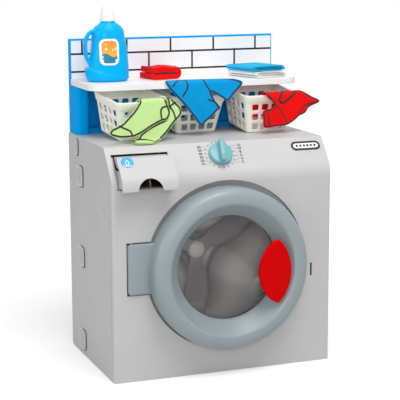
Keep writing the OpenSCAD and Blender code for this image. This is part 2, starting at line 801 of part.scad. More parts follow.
module batteries() {
    color([0.25, 0.25, 0.27]) for (i = [-1:1])
        on_back(battery_x, battery_z + i * cell_pitch) translate([0, 0, battery_d - 2 - cell_r])
            rotate([0, 90, 0]) {
                translate([0, 0, -cell_len / 2]) cylinder(r = cell_r, h = cell_len - 1);
                translate([0, 0, cell_len / 2 - 1 - eps]) cylinder(r = 2.7, h = 1.2);
            }
}
module battery_contacts() {
    color([0.78, 0.76, 0.70]) for (i = [-1:1])
        on_back(battery_x, battery_z + i * cell_pitch) translate([0, 0, battery_d - 2 - cell_r]) {
            translate([cell_len / 2 + 0.5, -6, -5]) cube([1, 12, 10]);
            translate([battery_w / 2 - 2.5, -6, -5]) cube([1, 12, 10]);
            translate([cell_len / 2 + 1.2, -6, -1]) cube([battery_w / 2 - 3.4 - cell_len / 2, 12, 1]);
            translate([-battery_w / 2 + 1.5, -6, -5]) cube([1, 12, 10]);
            translate([-battery_w / 2 + 2, 0, 0]) rotate([0, 90, 0])
                cylinder(r1 = 5, r2 = 3, h = (battery_w - cell_len) / 2 - 2.5);
        }
}
module battery_cover() {
    w = battery_w + 8 - 2 * lid_gap;
    h = battery_h + 8 - 2 * lid_gap;
    color([0.76, 0.76, 0.76]) difference() {
        union() {
            block(battery_x - w / 2, battery_x + w / 2, back_y - 1.6 + rest_gap / 3, back_y + 0.6,
                  battery_z - h / 2, battery_z + h / 2);
            rod_y(battery_x, battery_z - battery_h / 2 + 6, 5, back_y - boss_len, back_y);
        }
        rod_y(battery_x, battery_z - battery_h / 2 + 6, 3.2, back_y - 1.2, back_y + 1);
        rod_y(battery_x, battery_z - battery_h / 2 + 6, 1.6, back_y - 9, back_y + 1);
    }
}
module battery_screw() {
    z = battery_z - battery_h / 2 + 6;
    color([0.6, 0.6, 0.62]) difference() {
        union() {
            rod_y(battery_x, z, 3, back_y - 1.1, back_y + 0.4);
            rod_y(battery_x, z, 1.55, back_y - boss_len - 3, back_y - 1);
        }
        block(battery_x - 2.2, battery_x + 2.2, back_y - 0.4, back_y + 1, z - 0.4, z + 0.4);
        block(battery_x - 0.4, battery_x + 0.4, back_y - 0.4, back_y + 1, z - 2.2, z + 2.2);
    }
}
module power_switch_body() {
    color([0.25, 0.25, 0.27]) on_back(slider_x, slider_z) difference() {
        translate([-14, -6, 0]) cube([28, 12, 8]);
        translate([-slider_w / 2 - slider_travel - 1, -3.3, -1]) cube([slider_w + 2 * slider_travel + 2, 6.6, 5]);
    }
}
module power_slider() {
    color([0.12, 0.12, 0.13]) on_back(slider_x, slider_z) {
        translate([-slider_w / 2, -2.6, -wall - 2]) cube([slider_w, 5.2, wall + 5.4]);
        for (x = [-2.4, 0, 2.4]) translate([x - 0.5, -2.6, -wall - 2.6]) cube([1, 5.2, 0.7]);
    }
}
// leads from the board to the batteries, the speaker, the slider and the rotary switch
lead_r = 1;
lead_drop = 11;                                     // leads leave the board this far from its middle
module lead_x(x0, x1, y, z) {
    translate([x0, y, z]) rotate([0, 90, 0]) cylinder(r = lead_r, h = x1 - x0);
}
module wiring() {
    y = back_y - wall - standoff - 1.6 - 4;
    box_side = battery_x + battery_w / 2 + 1.5;
    side = board_z - lead_drop - speaker_z - lead_r;    // how far off the cone's middle the lead runs
    cone_x = speaker_x - sqrt(cone_tip_r * cone_tip_r - side * side);
    color([0.75, 0.12, 0.10]) {
        lead_x(box_side, board_x - 30, y, board_z + lead_drop);
        lead_x(board_x + 30, cone_x - rest_gap, y + 1, board_z - lead_drop);
    }
}

// ================================================================ hutch
hutch_blue = [0.0, 0.43, 0.74];
module pillar_plan(grow) {
    translate([-pillar_w / 2 - grow, -grow]) {
        translate([0, 8]) square([pillar_w + 2 * grow, pillar_d - 8 + grow]);
        translate([8, 0]) square([pillar_w + 2 * grow - 16, 9]);
        for (x = [8, pillar_w + 2 * grow - 8]) translate([x, 8]) circle(8);
    }
}
module hutch_frame() {
    pillar_top = shelf_z - rest_gap;
    x1 = hutch_w / 2;
    color(hutch_blue) difference() {
        union() {
            block(-x1, x1, splash_y, splash_y + wall, hutch_z, hutch_z + hutch_h);
            block(-x1, x1, splash_y, back_y, hutch_z + hutch_h - wall, hutch_z + hutch_h);
            for (s = [-1, 1]) translate([s * (x1 - wall / 2) - wall / 2, splash_y, hutch_z])
                cube([wall, back_d, hutch_h]);
            for (x = [-110, 0, 110]) translate([x - 1, splash_y + 1, hutch_z])
                cube([2, back_d - 2, hutch_h - 1]);
            for (s = [-1, 1]) translate([s * (x1 - pillar_w / 2), pillar_y, hutch_z]) difference() {
                linear_extrude(pillar_top - hutch_z) pillar_plan(0);
                translate([0, wall, -1]) linear_extrude(pillar_top - hutch_z - wall + 1)
                    translate([-pillar_w / 2 + wall, 0]) square([pillar_w - 2 * wall, pillar_d]);
            }
            block(-x1 + pillar_w - 1, x1 - pillar_w + 1, plinth_y, splash_y + 1,
                  hutch_z + plinth_h - wall, hutch_z + plinth_h);
            block(-x1 + pillar_w - 1, x1 - pillar_w + 1, plinth_y, plinth_y + wall, hutch_z, hutch_z + plinth_h);
        }
        for (s = [-1, 1]) translate([s * screw_x, pillar_y + pillar_d / 2 - 5, pillar_top - wall - 1])
            cylinder(r = screw_r, h = wall + 2);
        for (s = [-1, 1]) translate([s * hutch_screw_x, plinth_y + 20, hutch_z])
            cylinder(r = screw_r, h = plinth_h + 1);
    }
}
module backsplash_sheet() {
    x = hutch_w / 2 - 2.5;
    color([0.95, 0.95, 0.96])
        block(-x, x, splash_y - rest_gap - sheet_t, splash_y - rest_gap, shelf_top + rest_gap, hutch_z + hutch_h - 3.5);
}
module shelf_plan(inset) {
    w = shelf_w / 2 - inset;
    f = shelf_front + inset;
    r = shelf_r - inset;
    b = back_y - 2 - inset;
    translate([-w, f + r]) square([2 * w, b - f - r]);
    translate([-w + r, f]) square([2 * (w - r), r + 1]);
    for (s = [-1, 1]) translate([s * (w - r), f + r]) circle(r);
}
module shelf() {
    deck = 3;
    pad_y = pillar_y + pillar_d / 2 - 5;
    notch_x = hutch_w / 2 + rest_gap;
    color([0.95, 0.95, 0.96]) difference() {
        union() {
            difference() {
                translate([0, 0, shelf_z]) linear_extrude(shelf_t) shelf_plan(0);
                translate([0, 0, shelf_z - 1]) linear_extrude(shelf_t - deck + 1) shelf_plan(wall);
            }
            // pads over the pillars, and ribs between them
            for (s = [-1, 1]) translate([s * screw_x - 9, pad_y - 12, shelf_z]) cube([18, 24, shelf_t - 1]);
            for (x = [-70, 70]) translate([x - 1, shelf_front + 1, shelf_z + 2]) cube([2, shelf_d - 16, shelf_t - 3]);
            block(-shelf_w / 2, shelf_w / 2, splash_y - rest_gap - wall, splash_y - rest_gap, shelf_z,
                  shelf_top - 1);
        }
        block(-notch_x, notch_x, splash_y - rest_gap, back_y + 1, shelf_z - 1, shelf_top + 1);
        for (s = [-1, 1]) translate([s * screw_x, pad_y, shelf_z - 1]) cylinder(r = screw_r, h = 8);
    }
}
module shelf_screws() {
    z = shelf_z - rest_gap - wall;
    color([0.6, 0.6, 0.62]) for (s = [-1, 1]) translate([s * screw_x, pillar_y + pillar_d / 2 - 5, 0]) {
        translate([0, 0, z - 1.8]) cylinder(r = 4, h = 1.8);
        translate([0, 0, z - eps]) cylinder(r = screw_r - run_gap, h = 9);
    }
}
module hutch_screws() {
    color([0.6, 0.6, 0.62]) for (s = [-1, 1]) translate([s * hutch_screw_x, plinth_y + 20, 0]) {
        translate([0, 0, hutch_z + plinth_h]) cylinder(r = 4, h = 1.8);
        translate([0, 0, cab_h - wall - 8]) cylinder(r = screw_r - run_gap, h = 8 + wall + plinth_h + eps);
    }
}

// ================================================================ baskets
basket_cream = [0.94, 0.90, 0.83];
foot_w = basket_w - 2 * basket_taper;
foot_d = basket_d - 2 * basket_taper_d;
hole_cols = 4;
hole_side_cols = 4;
hole_rows = 3;
hole_low = 2.5;                        // the rows of holes start this far up
hole_in = 4;                           // and the columns this far in from the corners
hole_fill = 0.64;                      // how much of its cell a hole takes
module plate(w, d, r, z, t) {
    // rounded plate for hulls
    translate([0, 0, z]) linear_extrude(t)
        for (x = [-1, 1], y = [-1, 1]) translate([x * (w / 2 - r), y * (d / 2 - r)]) circle(r, $fn = soft_fn);
}
module tub(inset) {
    hull() {
        plate(foot_w - 2 * inset, foot_d - 2 * inset, basket_foot_r - inset, inset, 0.5);
        plate(basket_w - 5 - 2 * inset, basket_d - 5 - 2 * inset, basket_rim_r - 2 - inset, basket_h - 1 + inset, 1);
    }
}
module rim_band() {
    difference() {
        hull() {
            plate(basket_w - 4, basket_d - 4, basket_rim_r - 2, basket_h - rim_h, 0.5);
            plate(basket_w, basket_d, basket_rim_r, basket_h - 2.5, 2.5);
        }
        translate([0, 0, basket_h - rim_h - 1]) hull() {
            plate(basket_w - 9, basket_d - 9, basket_rim_r - 4, 0, 1);
            plate(basket_w - 8, basket_d - 8, basket_rim_r - 4, rim_h + 2, 1);
        }
    }
}
module basket() {
    // width of the wall at a hole's height
    function wide(z, lo, hi) = lo + (hi - lo) * z / basket_h;
    pitch_z = (basket_h - rim_h - hole_low) / hole_rows;
    color(basket_cream) {
        difference() {
            tub(0);
            tub(basket_t);
            for (row = [0:hole_rows - 1]) {
                z = hole_low + pitch_z * (row + 0.5);
                w = wide(z, foot_w, basket_w) - 2 * hole_in;
                d = wide(z, foot_d, basket_d) - 2 * hole_in;
                for (c = [0:hole_cols - 1])
                    translate([-w / 2 + w * (c + 0.5) / hole_cols, 0, z])
                        cube([w / hole_cols * hole_fill, basket_d * 1.2, pitch_z * hole_fill], center = true);
                for (c = [0:hole_side_cols - 1])
                    translate([0, -d / 2 + d * (c + 0.5) / hole_side_cols, z])
                        cube([basket_w * 1.2, d / hole_side_cols * hole_fill, pitch_z * hole_fill], center = true);
            }
        }
        rim_band();
    }
}
// a basket stands on its front foot edge, leaning forward by lean and turned by turn;
// x is the middle of the foot's front edge and y its place, before it is turned
module placed_basket(p) {
    translate([p[0], p[1], cab_h + rest_gap]) rotate([0, 0, p[2]]) rotate([p[3], 0, 0])
        translate([0, foot_d / 2, 0]) children();
}
left_in = 92;                           // the outer baskets' middles, in from the hutch's sides
right_in = 70;
left_out = 128;                         // and their foot edges, in front of the plinth
right_out = 108;
basket_left_at = [-hutch_w / 2 + left_in, plinth_y - left_out, 9, 8];
middle_turn = 5;
middle_y = plinth_y - 68;
// the middle basket leans until its rear foot clears the plinth's front edge
middle_reach = (plinth_y - middle_y) * cos(middle_turn) - foot_w / 2 * sin(middle_turn);
basket_middle_at = [12, middle_y, middle_turn, atan2(plinth_h, middle_reach)];
basket_right_at = [hutch_w / 2 - right_in, plinth_y - right_out, 5, 8];
module basket_left() {
    placed_basket(basket_left_at) basket();
}
module basket_middle() {
    placed_basket(basket_middle_at) basket();
}
module basket_right() {
    placed_basket(basket_right_at) basket();
}

// ================================================================ bottle
bottle_in = 56;                         // the bottle stands this far in from the hutch's side
bottle_front = 83;                      // and this far in front of the back
bottle_x = -hutch_w / 2 + bottle_in;
bottle_y = back_y - bottle_front;
bottle_z = shelf_top + rest_gap;
neck_z = bottle_h;
module oval(x, a, b, z, t) {
    translate([x, 0, z]) scale([a, b, 1]) cylinder(r = 1, h = t, $fn = 40);
}
module bottle_shape(grow) {
    // wide foot, rounded under
    hull() {
        oval(0, bottle_a - 9 + grow, bottle_b - 7 + grow, 0, 1);
        oval(-1, bottle_a - 1 + grow, bottle_b + grow, 9, foot_step - 12);
        oval(-1, bottle_a - 3 + grow, bottle_b - 1.5 + grow, foot_step, 1);
    }
    // body, narrowing to a waist under the shoulder and leaving room for the grip on the left
    hull() {
        oval(1, bottle_a - 4 + grow, bottle_b - 2 + grow, foot_step - 1, 3);
        oval(4.5, bottle_a - 11.5 + grow, bottle_b - 1.5 + grow, bottle_h * 0.56, 2);
    }
    hull() {
        oval(4.5, bottle_a - 11.5 + grow, bottle_b - 1.5 + grow, bottle_h * 0.56, 2);
        oval(2, bottle_a - 14 + grow, bottle_b - 4 + grow, bottle_h * 0.82, 1);
        oval(1.6, bottle_a - 18 + grow, bottle_b - 7.5 + grow, bottle_h * 0.90, 1);
        oval(1, 14 + grow, 14 + grow, bottle_h - 1, 1);
    }
}
foot_step = 26;                         // height at which the foot steps in
grip_r = 4;
module grip_step(p, q) {
    hull() {
        translate([p[0], 0, p[1]]) sphere(grip_r, $fn = 16);
        translate([q[0], 0, q[1]]) sphere(grip_r, $fn = 16);
    }
}
module bottle_body() {
    grip = [[-24, bottle_h * 0.85], [-34, bottle_h * 0.83], [-41, bottle_h * 0.75], [-44.3, bottle_h * 0.66],
            [-44.3, bottle_h * 0.52], [-42, bottle_h * 0.41], [-38, bottle_h * 0.33], [-32, bottle_h * 0.27]];
    color([0.0, 0.62, 0.93]) translate([bottle_x, bottle_y, bottle_z]) {
        bottle_shape(0);
        for (i = [0:len(grip) - 2]) grip_step(grip[i], grip[i + 1]);
        translate([1, 0, neck_z - 2]) cylinder(r = 13, h = 6);
    }
}
cap_ribs = 24;
module bottle_cap() {
    color([0.97, 0.97, 0.97]) translate([bottle_x + 1, bottle_y, bottle_z + neck_z + rest_gap]) difference() {
        union() {
            cylinder(r1 = 16, r2 = 14.5, h = 10);
            translate([0, 0, 10 - eps]) cylinder(r1 = 14, r2 = 10.5, h = cap_h - 10);
            for (i = [0:cap_ribs - 1]) rotate([0, 0, i * 360 / cap_ribs])
                translate([10, -0.7, 10]) rotate([0, -8.3, 0]) cube([4, 1.4, cap_h - 12]);
        }
        translate([0, 0, -1]) cylinder(r = 13 + rest_gap, h = 5.5);
    }
}
label_x = -4;                           // the label's middle, from the bottle's own
label_z = bottle_h * 0.5;
label_w = 37;
label_h = 50;
label_r = 12;
module bottle_label() {
    color([0.96, 0.78, 0.45]) translate([bottle_x, bottle_y, bottle_z]) intersection() {
        difference() {
            bottle_shape(0.5);
            bottle_shape(0.05);
        }
        translate([label_x, -bottle_b, label_z]) rotate([90, 0, 0])
            linear_extrude(2 * bottle_b, center = true) rounded_rect(label_w, label_h, label_r);
    }
}

// ================================================================ clothes, as plain closed solids
cloth_t = 2.5;
module sheet_xz(pts, y, t) {
    // flat cloth standing in the x-z plane
    translate([0, y, 0]) rotate([90, 0, 0]) linear_extrude(t) polygon(pts);
}
module socks() {
    color([0.75, 0.89, 0.57]) placed_basket(basket_left_at) {
        y = -basket_d / 2 - rest_gap;
        // the part that hangs down in front of the basket
        sheet_xz([[-2, basket_h + 4], [46, basket_h + 4], [44, 60], [30, 34], [4, 16], [-22, 8],
                  [-40, 8], [-48, 15], [-40, 24], [-22, 34]], y, cloth_t);
        sheet_xz([[47, basket_h + 4], [58, basket_h + 1], [60, 50], [44, 14], [24, 4], [8, 4], [6, 10],
                  [30, 24], [46, 52]], y, cloth_t);
        // the part that lies over the rim and into the basket
        for (x = [[-2, 46], [47, 58]])
            translate([x[0], y - cloth_t, basket_h + rest_gap]) cube([x[1] - x[0], 34, cloth_t]);
    }
}
module shirt() {
    z = shelf_top + rest_gap;
    y = shelf_front - rest_gap;
    color([0.05, 0.58, 0.86]) {
        sheet_xz([[-58, z + cloth_t], [60, z + cloth_t], [78, z - 8], [44, z - 42], [30, z - 20], [40, z - 52],
                  [2, z - 86], [-40, z - 30]], y, cloth_t);
        block(-56, 58, y - cloth_t, y + 30, z, z + cloth_t);
    }
}
module shorts() {
    color([0.90, 0.08, 0.08]) placed_basket(basket_right_at) {
        y = -basket_d / 2 - rest_gap;
        sheet_xz([[-8, basket_h + 4], [64, basket_h + 6], [104, 64], [82, 40], [70, 30], [44, 10], [10, 6],
                  [-16, 14], [-20, 50], [-30, 72]], y, cloth_t);
        translate([-6, y - cloth_t, basket_h + rest_gap]) cube([62, 36, cloth_t]);
    }
}
// a folded piece: middle x and y, turn, width, depth and thickness
red_fold = [-52, back_y - 71, 12, 68, 60, 26];
white_fold = [hutch_w / 2 - 70, back_y - 93, 17, 74, 96, 13];
blue_fold = [hutch_w / 2 - 72, back_y - 93, 17, 76, 92, 9];
module folded(f, z) {
    translate([f[0], f[1], z]) rotate([0, 0, f[2]]) hull() {
        plate(f[3] - 4, f[4] - 4, 6, 0, f[5]);
        plate(f[3], f[4], 8, 1.2, f[5] - 2.4);
    }
}
module folded_red_cloth() {
    color([0.93, 0.15, 0.12]) folded(red_fold, shelf_top + rest_gap);
}
module folded_white_cloth() {
    color([0.96, 0.96, 0.96]) folded(white_fold, shelf_top + rest_gap);
}
module folded_blue_cloth() {
    color([0.05, 0.62, 0.86]) folded(blue_fold, shelf_top + white_fold[5] + 2 * rest_gap);
}

front_panel();
side_left();
side_right();
top_panel();
back_panel();
base_panel();
snap_covers_left();
snap_covers_right();
panel_screws();
drum_housing();
drum();
drum_axle();
drum_bush();
axle_clip();
housing_screws();
door_ring();
door_back_ring();
door_window();
door_handle();
hinge_pin();
door_catch();
drawer_tray();
drawer_housing();
knob();
switch_shaft();
rotary_switch();
sound_board();
speaker();
battery_box();
batteries();
battery_contacts();
battery_cover();
battery_screw();
power_switch_body();
power_slider();
wiring();
hutch_frame();
backsplash_sheet();
shelf();
shelf_screws();
hutch_screws();
basket_left();
basket_middle();
basket_right();
bottle_body();
bottle_cap();
bottle_label();
socks();
shirt();
shorts();
folded_red_cloth();
folded_blue_cloth();
folded_white_cloth();
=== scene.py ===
from math import asin, atan2, copysign, cos, pi, radians, remainder, sin, sqrt, tan

import bmesh
import bpy
from bpy.props import FloatProperty, FloatVectorProperty, IntProperty, PointerProperty
from mathutils import Matrix, Vector
from mathutils.geometry import delaunay_2d_cdt


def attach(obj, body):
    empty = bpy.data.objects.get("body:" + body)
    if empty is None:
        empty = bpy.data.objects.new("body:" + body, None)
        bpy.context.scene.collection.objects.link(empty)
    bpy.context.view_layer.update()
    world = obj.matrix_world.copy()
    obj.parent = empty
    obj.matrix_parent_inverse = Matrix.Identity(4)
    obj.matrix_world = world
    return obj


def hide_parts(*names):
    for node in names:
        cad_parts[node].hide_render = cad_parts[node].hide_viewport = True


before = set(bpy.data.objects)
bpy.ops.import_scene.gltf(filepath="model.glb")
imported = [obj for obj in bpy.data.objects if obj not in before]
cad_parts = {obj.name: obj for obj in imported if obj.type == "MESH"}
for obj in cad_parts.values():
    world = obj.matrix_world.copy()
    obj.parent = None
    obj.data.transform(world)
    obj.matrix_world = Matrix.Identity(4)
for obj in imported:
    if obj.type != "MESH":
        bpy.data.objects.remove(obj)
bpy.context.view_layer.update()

bl_info = {
    "name": "Toy washing machine looks",
    "version": (1, 0, 0),
    "blender": (4, 5, 0),
    "location": "View3D > Sidebar > Laundry",
    "description": "Finished pieces and materials for a toy washing machine with a laundry hutch",
    "category": "Object",
}

MM = 0.001


# ------------------------------------------------------------------ places

# in millimetres, except the slope
FRONT_Y = -145.0                        # the cabinet's front face
FASCIA_Z = 380.0                        # foot of the sloped fascia
FASCIA_TURN = atan2(56.0, 47.0)         # its slope, in radians
DOOR = (2.0, 205.5)                     # x and z of the door's axis
TOP_Z = 436.3                           # just over the cabinet's top
SHELF_Z = 542.3                         # just over the shelf
DRAWER_X = -155.0                       # the drawer's middle
DRAWER_OUT = 32.0                       # how far it is pulled out


def at(x, y, z):
    """A place given in millimetres."""
    return Vector((x * MM, y * MM, z * MM))


def on_fascia(x, u, out=0.0, shift=0.0):
    """A point on the sloped fascia: x across, u up the slope, out of its face."""
    c, s = cos(FASCIA_TURN), sin(FASCIA_TURN)
    return at(x, FRONT_Y - shift + u * c - out * s, FASCIA_Z + u * s + out * c)


def from_door(r, angle, out):
    """A point turned about the door's axis; out is measured from the front face."""
    return at(DOOR[0] + r * cos(angle), FRONT_Y - out, DOOR[1] + r * sin(angle))


def round_points(count):
    """Cosine and sine at equal steps round a circle."""
    angles = [2 * pi * k / count for k in range(count)]
    return [(cos(a), sin(a)) for a in angles]


def rotated(x, y, angle):
    """x and y of a point turned about the origin."""
    return x * cos(angle) - y * sin(angle), x * sin(angle) + y * cos(angle)


def ways(points, closed=False):
    """The direction of a line at each of its points."""
    n = len(points)
    if closed:
        return [(points[(i + 1) % n] - points[i - 1]).normalized() for i in range(n)]
    return [(points[min(i + 1, n - 1)] - points[max(i - 1, 0)]).normalized() for i in range(n)]


def left_of(way):
    return Vector((-way.y, way.x))


def smoothstep(t):
    """0 below 0, 1 over 1, smooth between."""
    t = min(1.0, max(0.0, t))
    return t * t * (3 - 2 * t)


def spline(points, step, closed=False):
    """Points joined by a smooth line, with a new point about every step."""
    points = [Vector(p) for p in points]
    n = len(points)
    spans = n if closed else n - 1
    out = []
    for i in range(spans):
        if closed:
            p0, p1, p2, p3 = (points[(i + k) % n] for k in (-1, 0, 1, 2))
        else:
            p1, p2 = points[i], points[i + 1]
            p0 = points[i - 1] if i else p1 + (p1 - p2)
            p3 = points[i + 2] if i + 2 < n else p2 + (p2 - p1)
        cuts = max(1, round((p2 - p1).length / step))
        for k in range(cuts):
            t = k / cuts
            out.append(0.5 * (2 * p1 + (p2 - p0) * t + (2 * p0 - 5 * p1 + 4 * p2 - p3) * t * t
                              + (3 * p1 - 3 * p2 + p3 - p0) * t ** 3))
    if not closed:
        out.append(points[-1])
    return out


# ------------------------------------------------------------------ meshes

def piece(name, verts, faces, finish, sharp=38, bevel=0.0, subdivide=0, merge=1e-6):
    """A mesh object with its doubles merged and its faces turned outwards."""
    mesh = bpy.data.meshes.new(name)
    mesh.from_pydata([tuple(v) for v in verts], [], faces)
    bm = bmesh.new()
    bm.from_mesh(mesh)
    bmesh.ops.remove_doubles(bm, verts=bm.verts, dist=merge)
    bmesh.ops.recalc_face_normals(bm, faces=bm.faces)
    bm.to_mesh(mesh)
    bm.free()
    return dressed(name, mesh, finish, sharp, bevel, subdivide)


def modify(obj, name, kind, **settings):
    modifier = obj.modifiers.new(name, kind)
    for key, value in settings.items():
        setattr(modifier, key, value)


def dressed(name, mesh, finish, sharp=38, bevel=0.0, subdivide=0):
    """An object with one finish; edges sharper than an angle stay sharp, or are rounded by a bevel."""
    mesh.materials.clear()
    mesh.materials.append(finish)
    mesh.shade_smooth()
    mesh.set_sharp_from_angle(angle=radians(sharp))
    obj = bpy.data.objects.new(name, mesh)
    bpy.context.scene.collection.objects.link(obj)
    if bevel:
        modify(obj, "soft edges", "BEVEL", width=bevel * MM, segments=3, limit_method="ANGLE",
               angle_limit=radians(40), harden_normals=True, use_clamp_overlap=True)
    if subdivide:
        modify(obj, "smooth", "SUBSURF", levels=subdivide, render_levels=subdivide)
    return obj


def lofted(rings, ring_closed=True, loft_closed=False, capped=False):
    """Faces between rings of equally many points."""
    n = len(rings[0])
    verts = [p for ring in rings for p in ring]
    faces = []
    for i in range(len(rings) if loft_closed else len(rings) - 1):
        a, b = i * n, ((i + 1) % len(rings)) * n
        for j in range(n if ring_closed else n - 1):
            k = (j + 1) % n
            faces.append((a + j, a + k, b + k, b + j))
    if capped:
        faces.append(tuple(range(n)))
        faces.append(tuple((len(rings) - 1) * n + j for j in range(n)))
    return verts, faces


def turned(profile, steps=160, closed=False):
    """A profile of (radius, out) turned about the door's axis."""
    rings = [[from_door(r, 2 * pi * k / steps, out) for r, out in profile] for k in range(steps)]
    return lofted(rings, ring_closed=closed, loft_closed=True)


def together(*parts):
    """Several (verts, faces) as one."""
    verts, faces = [], []
    for v, f in parts:
        base = len(verts)
        verts += list(v)
        faces += [tuple(base + i for i in face) for face in f]
    return verts, faces


def tube(path, radius, sides=16, flat=1.0):
    """A round bar along a path in one upright plane; flat widens it out of that plane."""
    across = Vector((0, 1, 0))
    rings = []
    for i, (p, way) in enumerate(zip(path, ways(path))):
        up = way.cross(across).normalized()
        r = radius * (0.55 if i in (0, len(path) - 1) else 1)
        rings.append([p + up * r * c + across * r * flat * s for c, s in round_points(sides)])
    return lofted(rings, capped=True)


def settle(body, slot, *parts, node=None):
    """Puts pieces on a body; they stand for a CAD node where one is named. The slot is not used."""
    for part in parts:
        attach(part, body)
        if node:
            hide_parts(node)


def softened(node, name, finish, width, sharp=38):
    """A merged copy of a CAD node with its hard edges rounded."""
    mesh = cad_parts[node].data.copy()
    for attribute in [a for a in mesh.attributes if a.name == "custom_normal"]:
        mesh.attributes.remove(attribute)
    bm = bmesh.new()
    bm.from_mesh(mesh)
    bmesh.ops.remove_doubles(bm, verts=bm.verts, dist=2e-6)
    bmesh.ops.dissolve_limit(bm, angle_limit=radians(0.8), verts=bm.verts, edges=bm.edges)
    bm.to_mesh(mesh)
    bm.free()
    obj = dressed(name, mesh, finish, sharp, width)
    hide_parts(node)
    return obj


def rounded_outline(w, h, r, corner=8):
    """Points round a rectangle with round corners, anticlockwise from the upper end of the right edge."""
    points = []
    for sx, sy, a0 in ((1, 1, 0), (-1, 1, 90), (-1, -1, 180), (1, -1, 270)):
        cx, cy = sx * (w / 2 - r), sy * (h / 2 - r)
        for k in range(corner + 1):
            a = radians(a0 + 90 * k / corner)
            points.append(Vector((cx + r * cos(a), cy + r * sin(a))))
    return points


def filled(outline, spacing):
    """A net of triangles inside an outline of 2-D points."""
    xs, ys = [p.x for p in outline], [p.y for p in outline]
    net = list(outline)
    row = 0
    y = min(ys) + spacing * 0.5
    while y < max(ys):
        x = min(xs) + spacing * (0.5 if row % 2 else 0.0)
        while x < max(xs):
            q = Vector((x, y))
            if min((q - p).length_squared for p in outline) > (spacing * 0.55) ** 2:
                net.append(q)
            x += spacing
        y += spacing * 0.87
        row += 1
    verts, _, faces, _, _, _ = delaunay_2d_cdt(net, [], [list(range(len(outline)))], 1, 1e-5)
    return verts, faces


def two_sided(faces, n, count):
    """Faces of a thin sheet: a net of n points, a second one behind it, and the edge of the first count points."""
    return (list(faces) + [tuple(n + k for k in reversed(f)) for f in faces]
            + [(k, (k + 1) % count, n + (k + 1) % count, n + k) for k in range(count)])


def inset(points, d):
    """A closed 2-D line moved inwards by d."""
    n = len(points)
    turn = sum(points[i].cross(points[(i + 1) % n]) for i in range(n))
    side = 1 if turn > 0 else -1
    return [p + left_of(way) * side * d for p, way in zip(points, ways(points, closed=True))]


def strokes(lines, width, place, lift):
    """Flat printed lines on a cloth or panel; place turns 2-D points into places."""
    parts = []
    for points, closed in lines:
        rings = []
        for p, way in zip(points, ways(points, closed)):
            side = left_of(way) * width / 2
            rings.append([place(*(p + side), lift), place(*(p - side), lift)])
        parts.append(lofted(rings, ring_closed=False, loft_closed=closed))
    return together(*parts)


# ------------------------------------------------------------------ node trees, which work in metres

class Term:
    """An output of a node, so that a finish can be written as sums."""

    def __init__(self, maker, socket):
        self.maker = maker
        self.socket = socket

    def other(self, name):
        return Term(self.maker, self.socket.node.outputs[name])

    def maths(self, kind, *values):
        return self.maker.node("ShaderNodeMath", *values, operation=kind)

    def __add__(self, b):
        return self.maths("ADD", self, b)

    def __radd__(self, b):
        return self.maths("ADD", b, self)

    def __sub__(self, b):
        return self.maths("SUBTRACT", self, b)

    def __rsub__(self, b):
        return self.maths("SUBTRACT", b, self)

    def __mul__(self, b):
        return self.maths("MULTIPLY", self, b)

    def __rmul__(self, b):
        return self.maths("MULTIPLY", b, self)

    def __truediv__(self, b):
        return self.maths("DIVIDE", self, b)

    def __rtruediv__(self, b):
        return self.maths("DIVIDE", b, self)

    def __lt__(self, b):
        return self.maths("LESS_THAN", self, b)

    def __gt__(self, b):
        return self.maths("GREATER_THAN", self, b)

    def lowest(self, b):
        return self.maths("MINIMUM", self, b)

    def highest(self, b):
        return self.maths("MAXIMUM", self, b)

    def one(self, kind):
        """A Math node that takes only this value."""
        return self.maths(kind, self)

    def ramp(self, low, high):
        """0 at low, 1 at high, smooth between."""
        return self.maker.node("ShaderNodeMapRange", self, low, high, 0.0, 1.0, interpolation_type="SMOOTHSTEP")


class Maker:
    """Puts nodes into a tree and joins them; owner is the material or world that has the tree."""

    def __init__(self, tree, owner=None):
        self.tree = tree
        self.owner = owner

    def node(self, kind, *args, out=0, put=None, **settings):
        n = self.tree.nodes.new(kind)
        for key, value in settings.items():
            setattr(n, key, value)
        for i, value in enumerate(args):
            self.feed(n.inputs[i], value)
        for key, value in (put or {}).items():
            self.feed(n.inputs[key], value)
        return Term(self, n.outputs[out]) if n.outputs else None

    def feed(self, socket, value):
        if isinstance(value, Term):
            self.tree.links.new(value.socket, socket)
        elif value is not None:
            socket.default_value = value

    def between(self, factor, a, b):
        """Colour a where factor is 0, b where it is 1."""
        n = self.tree.nodes.new("ShaderNodeMix")
        n.data_type = "RGBA"
        for i, value in ((0, factor), (6, a), (7, b)):
            self.feed(n.inputs[i], value)
        return Term(self, n.outputs[2])

    def place(self, kind="Object"):
        return self.node("ShaderNodeTexCoord", out=kind)

    def split(self, where):
        """x, y and z of a place."""
        x = self.node("ShaderNodeSeparateXYZ", where)
        return x, x.other("Y"), x.other("Z")

    def noise(self, where, scale, detail=3.0):
        return self.node("ShaderNodeTexNoise", put={"Vector": where, "Scale": scale, "Detail": detail})

    def streaks(self, where, scale, upright):
        """Noise at one scale sideways and another one upright."""
        return self.noise(self.node("ShaderNodeMapping", where, put={"Scale": (scale, scale, upright)}), 1.0, 2.0)

    def shades(self, factor, base, low, high):
        """A colour that goes from low to high times itself with factor."""
        return self.between(factor, scaled(base, low), scaled(base, high))

    def pebbled(self, where, strength):
        """The fine grain of a moulding."""
        return self.bump(self.noise(where, 1500.0, 2.0), strength, 0.12)

    def bump(self, height, strength, distance, under=None):
        return self.node("ShaderNodeBump", put={"Height": height, "Strength": strength,
                                                "Distance": distance * MM, "Normal": under})


def colour(r, g, b):
    """An 8-bit display colour as a linear one."""
    return tuple(pow(((c / 255) + 0.055) / 1.055, 2.4) if c > 10 else c / 255 / 12.92 for c in (r, g, b)) + (1.0,)


def scaled(c, k):
    return tuple(min(1.0, v * k) for v in c[:3]) + (1.0,)


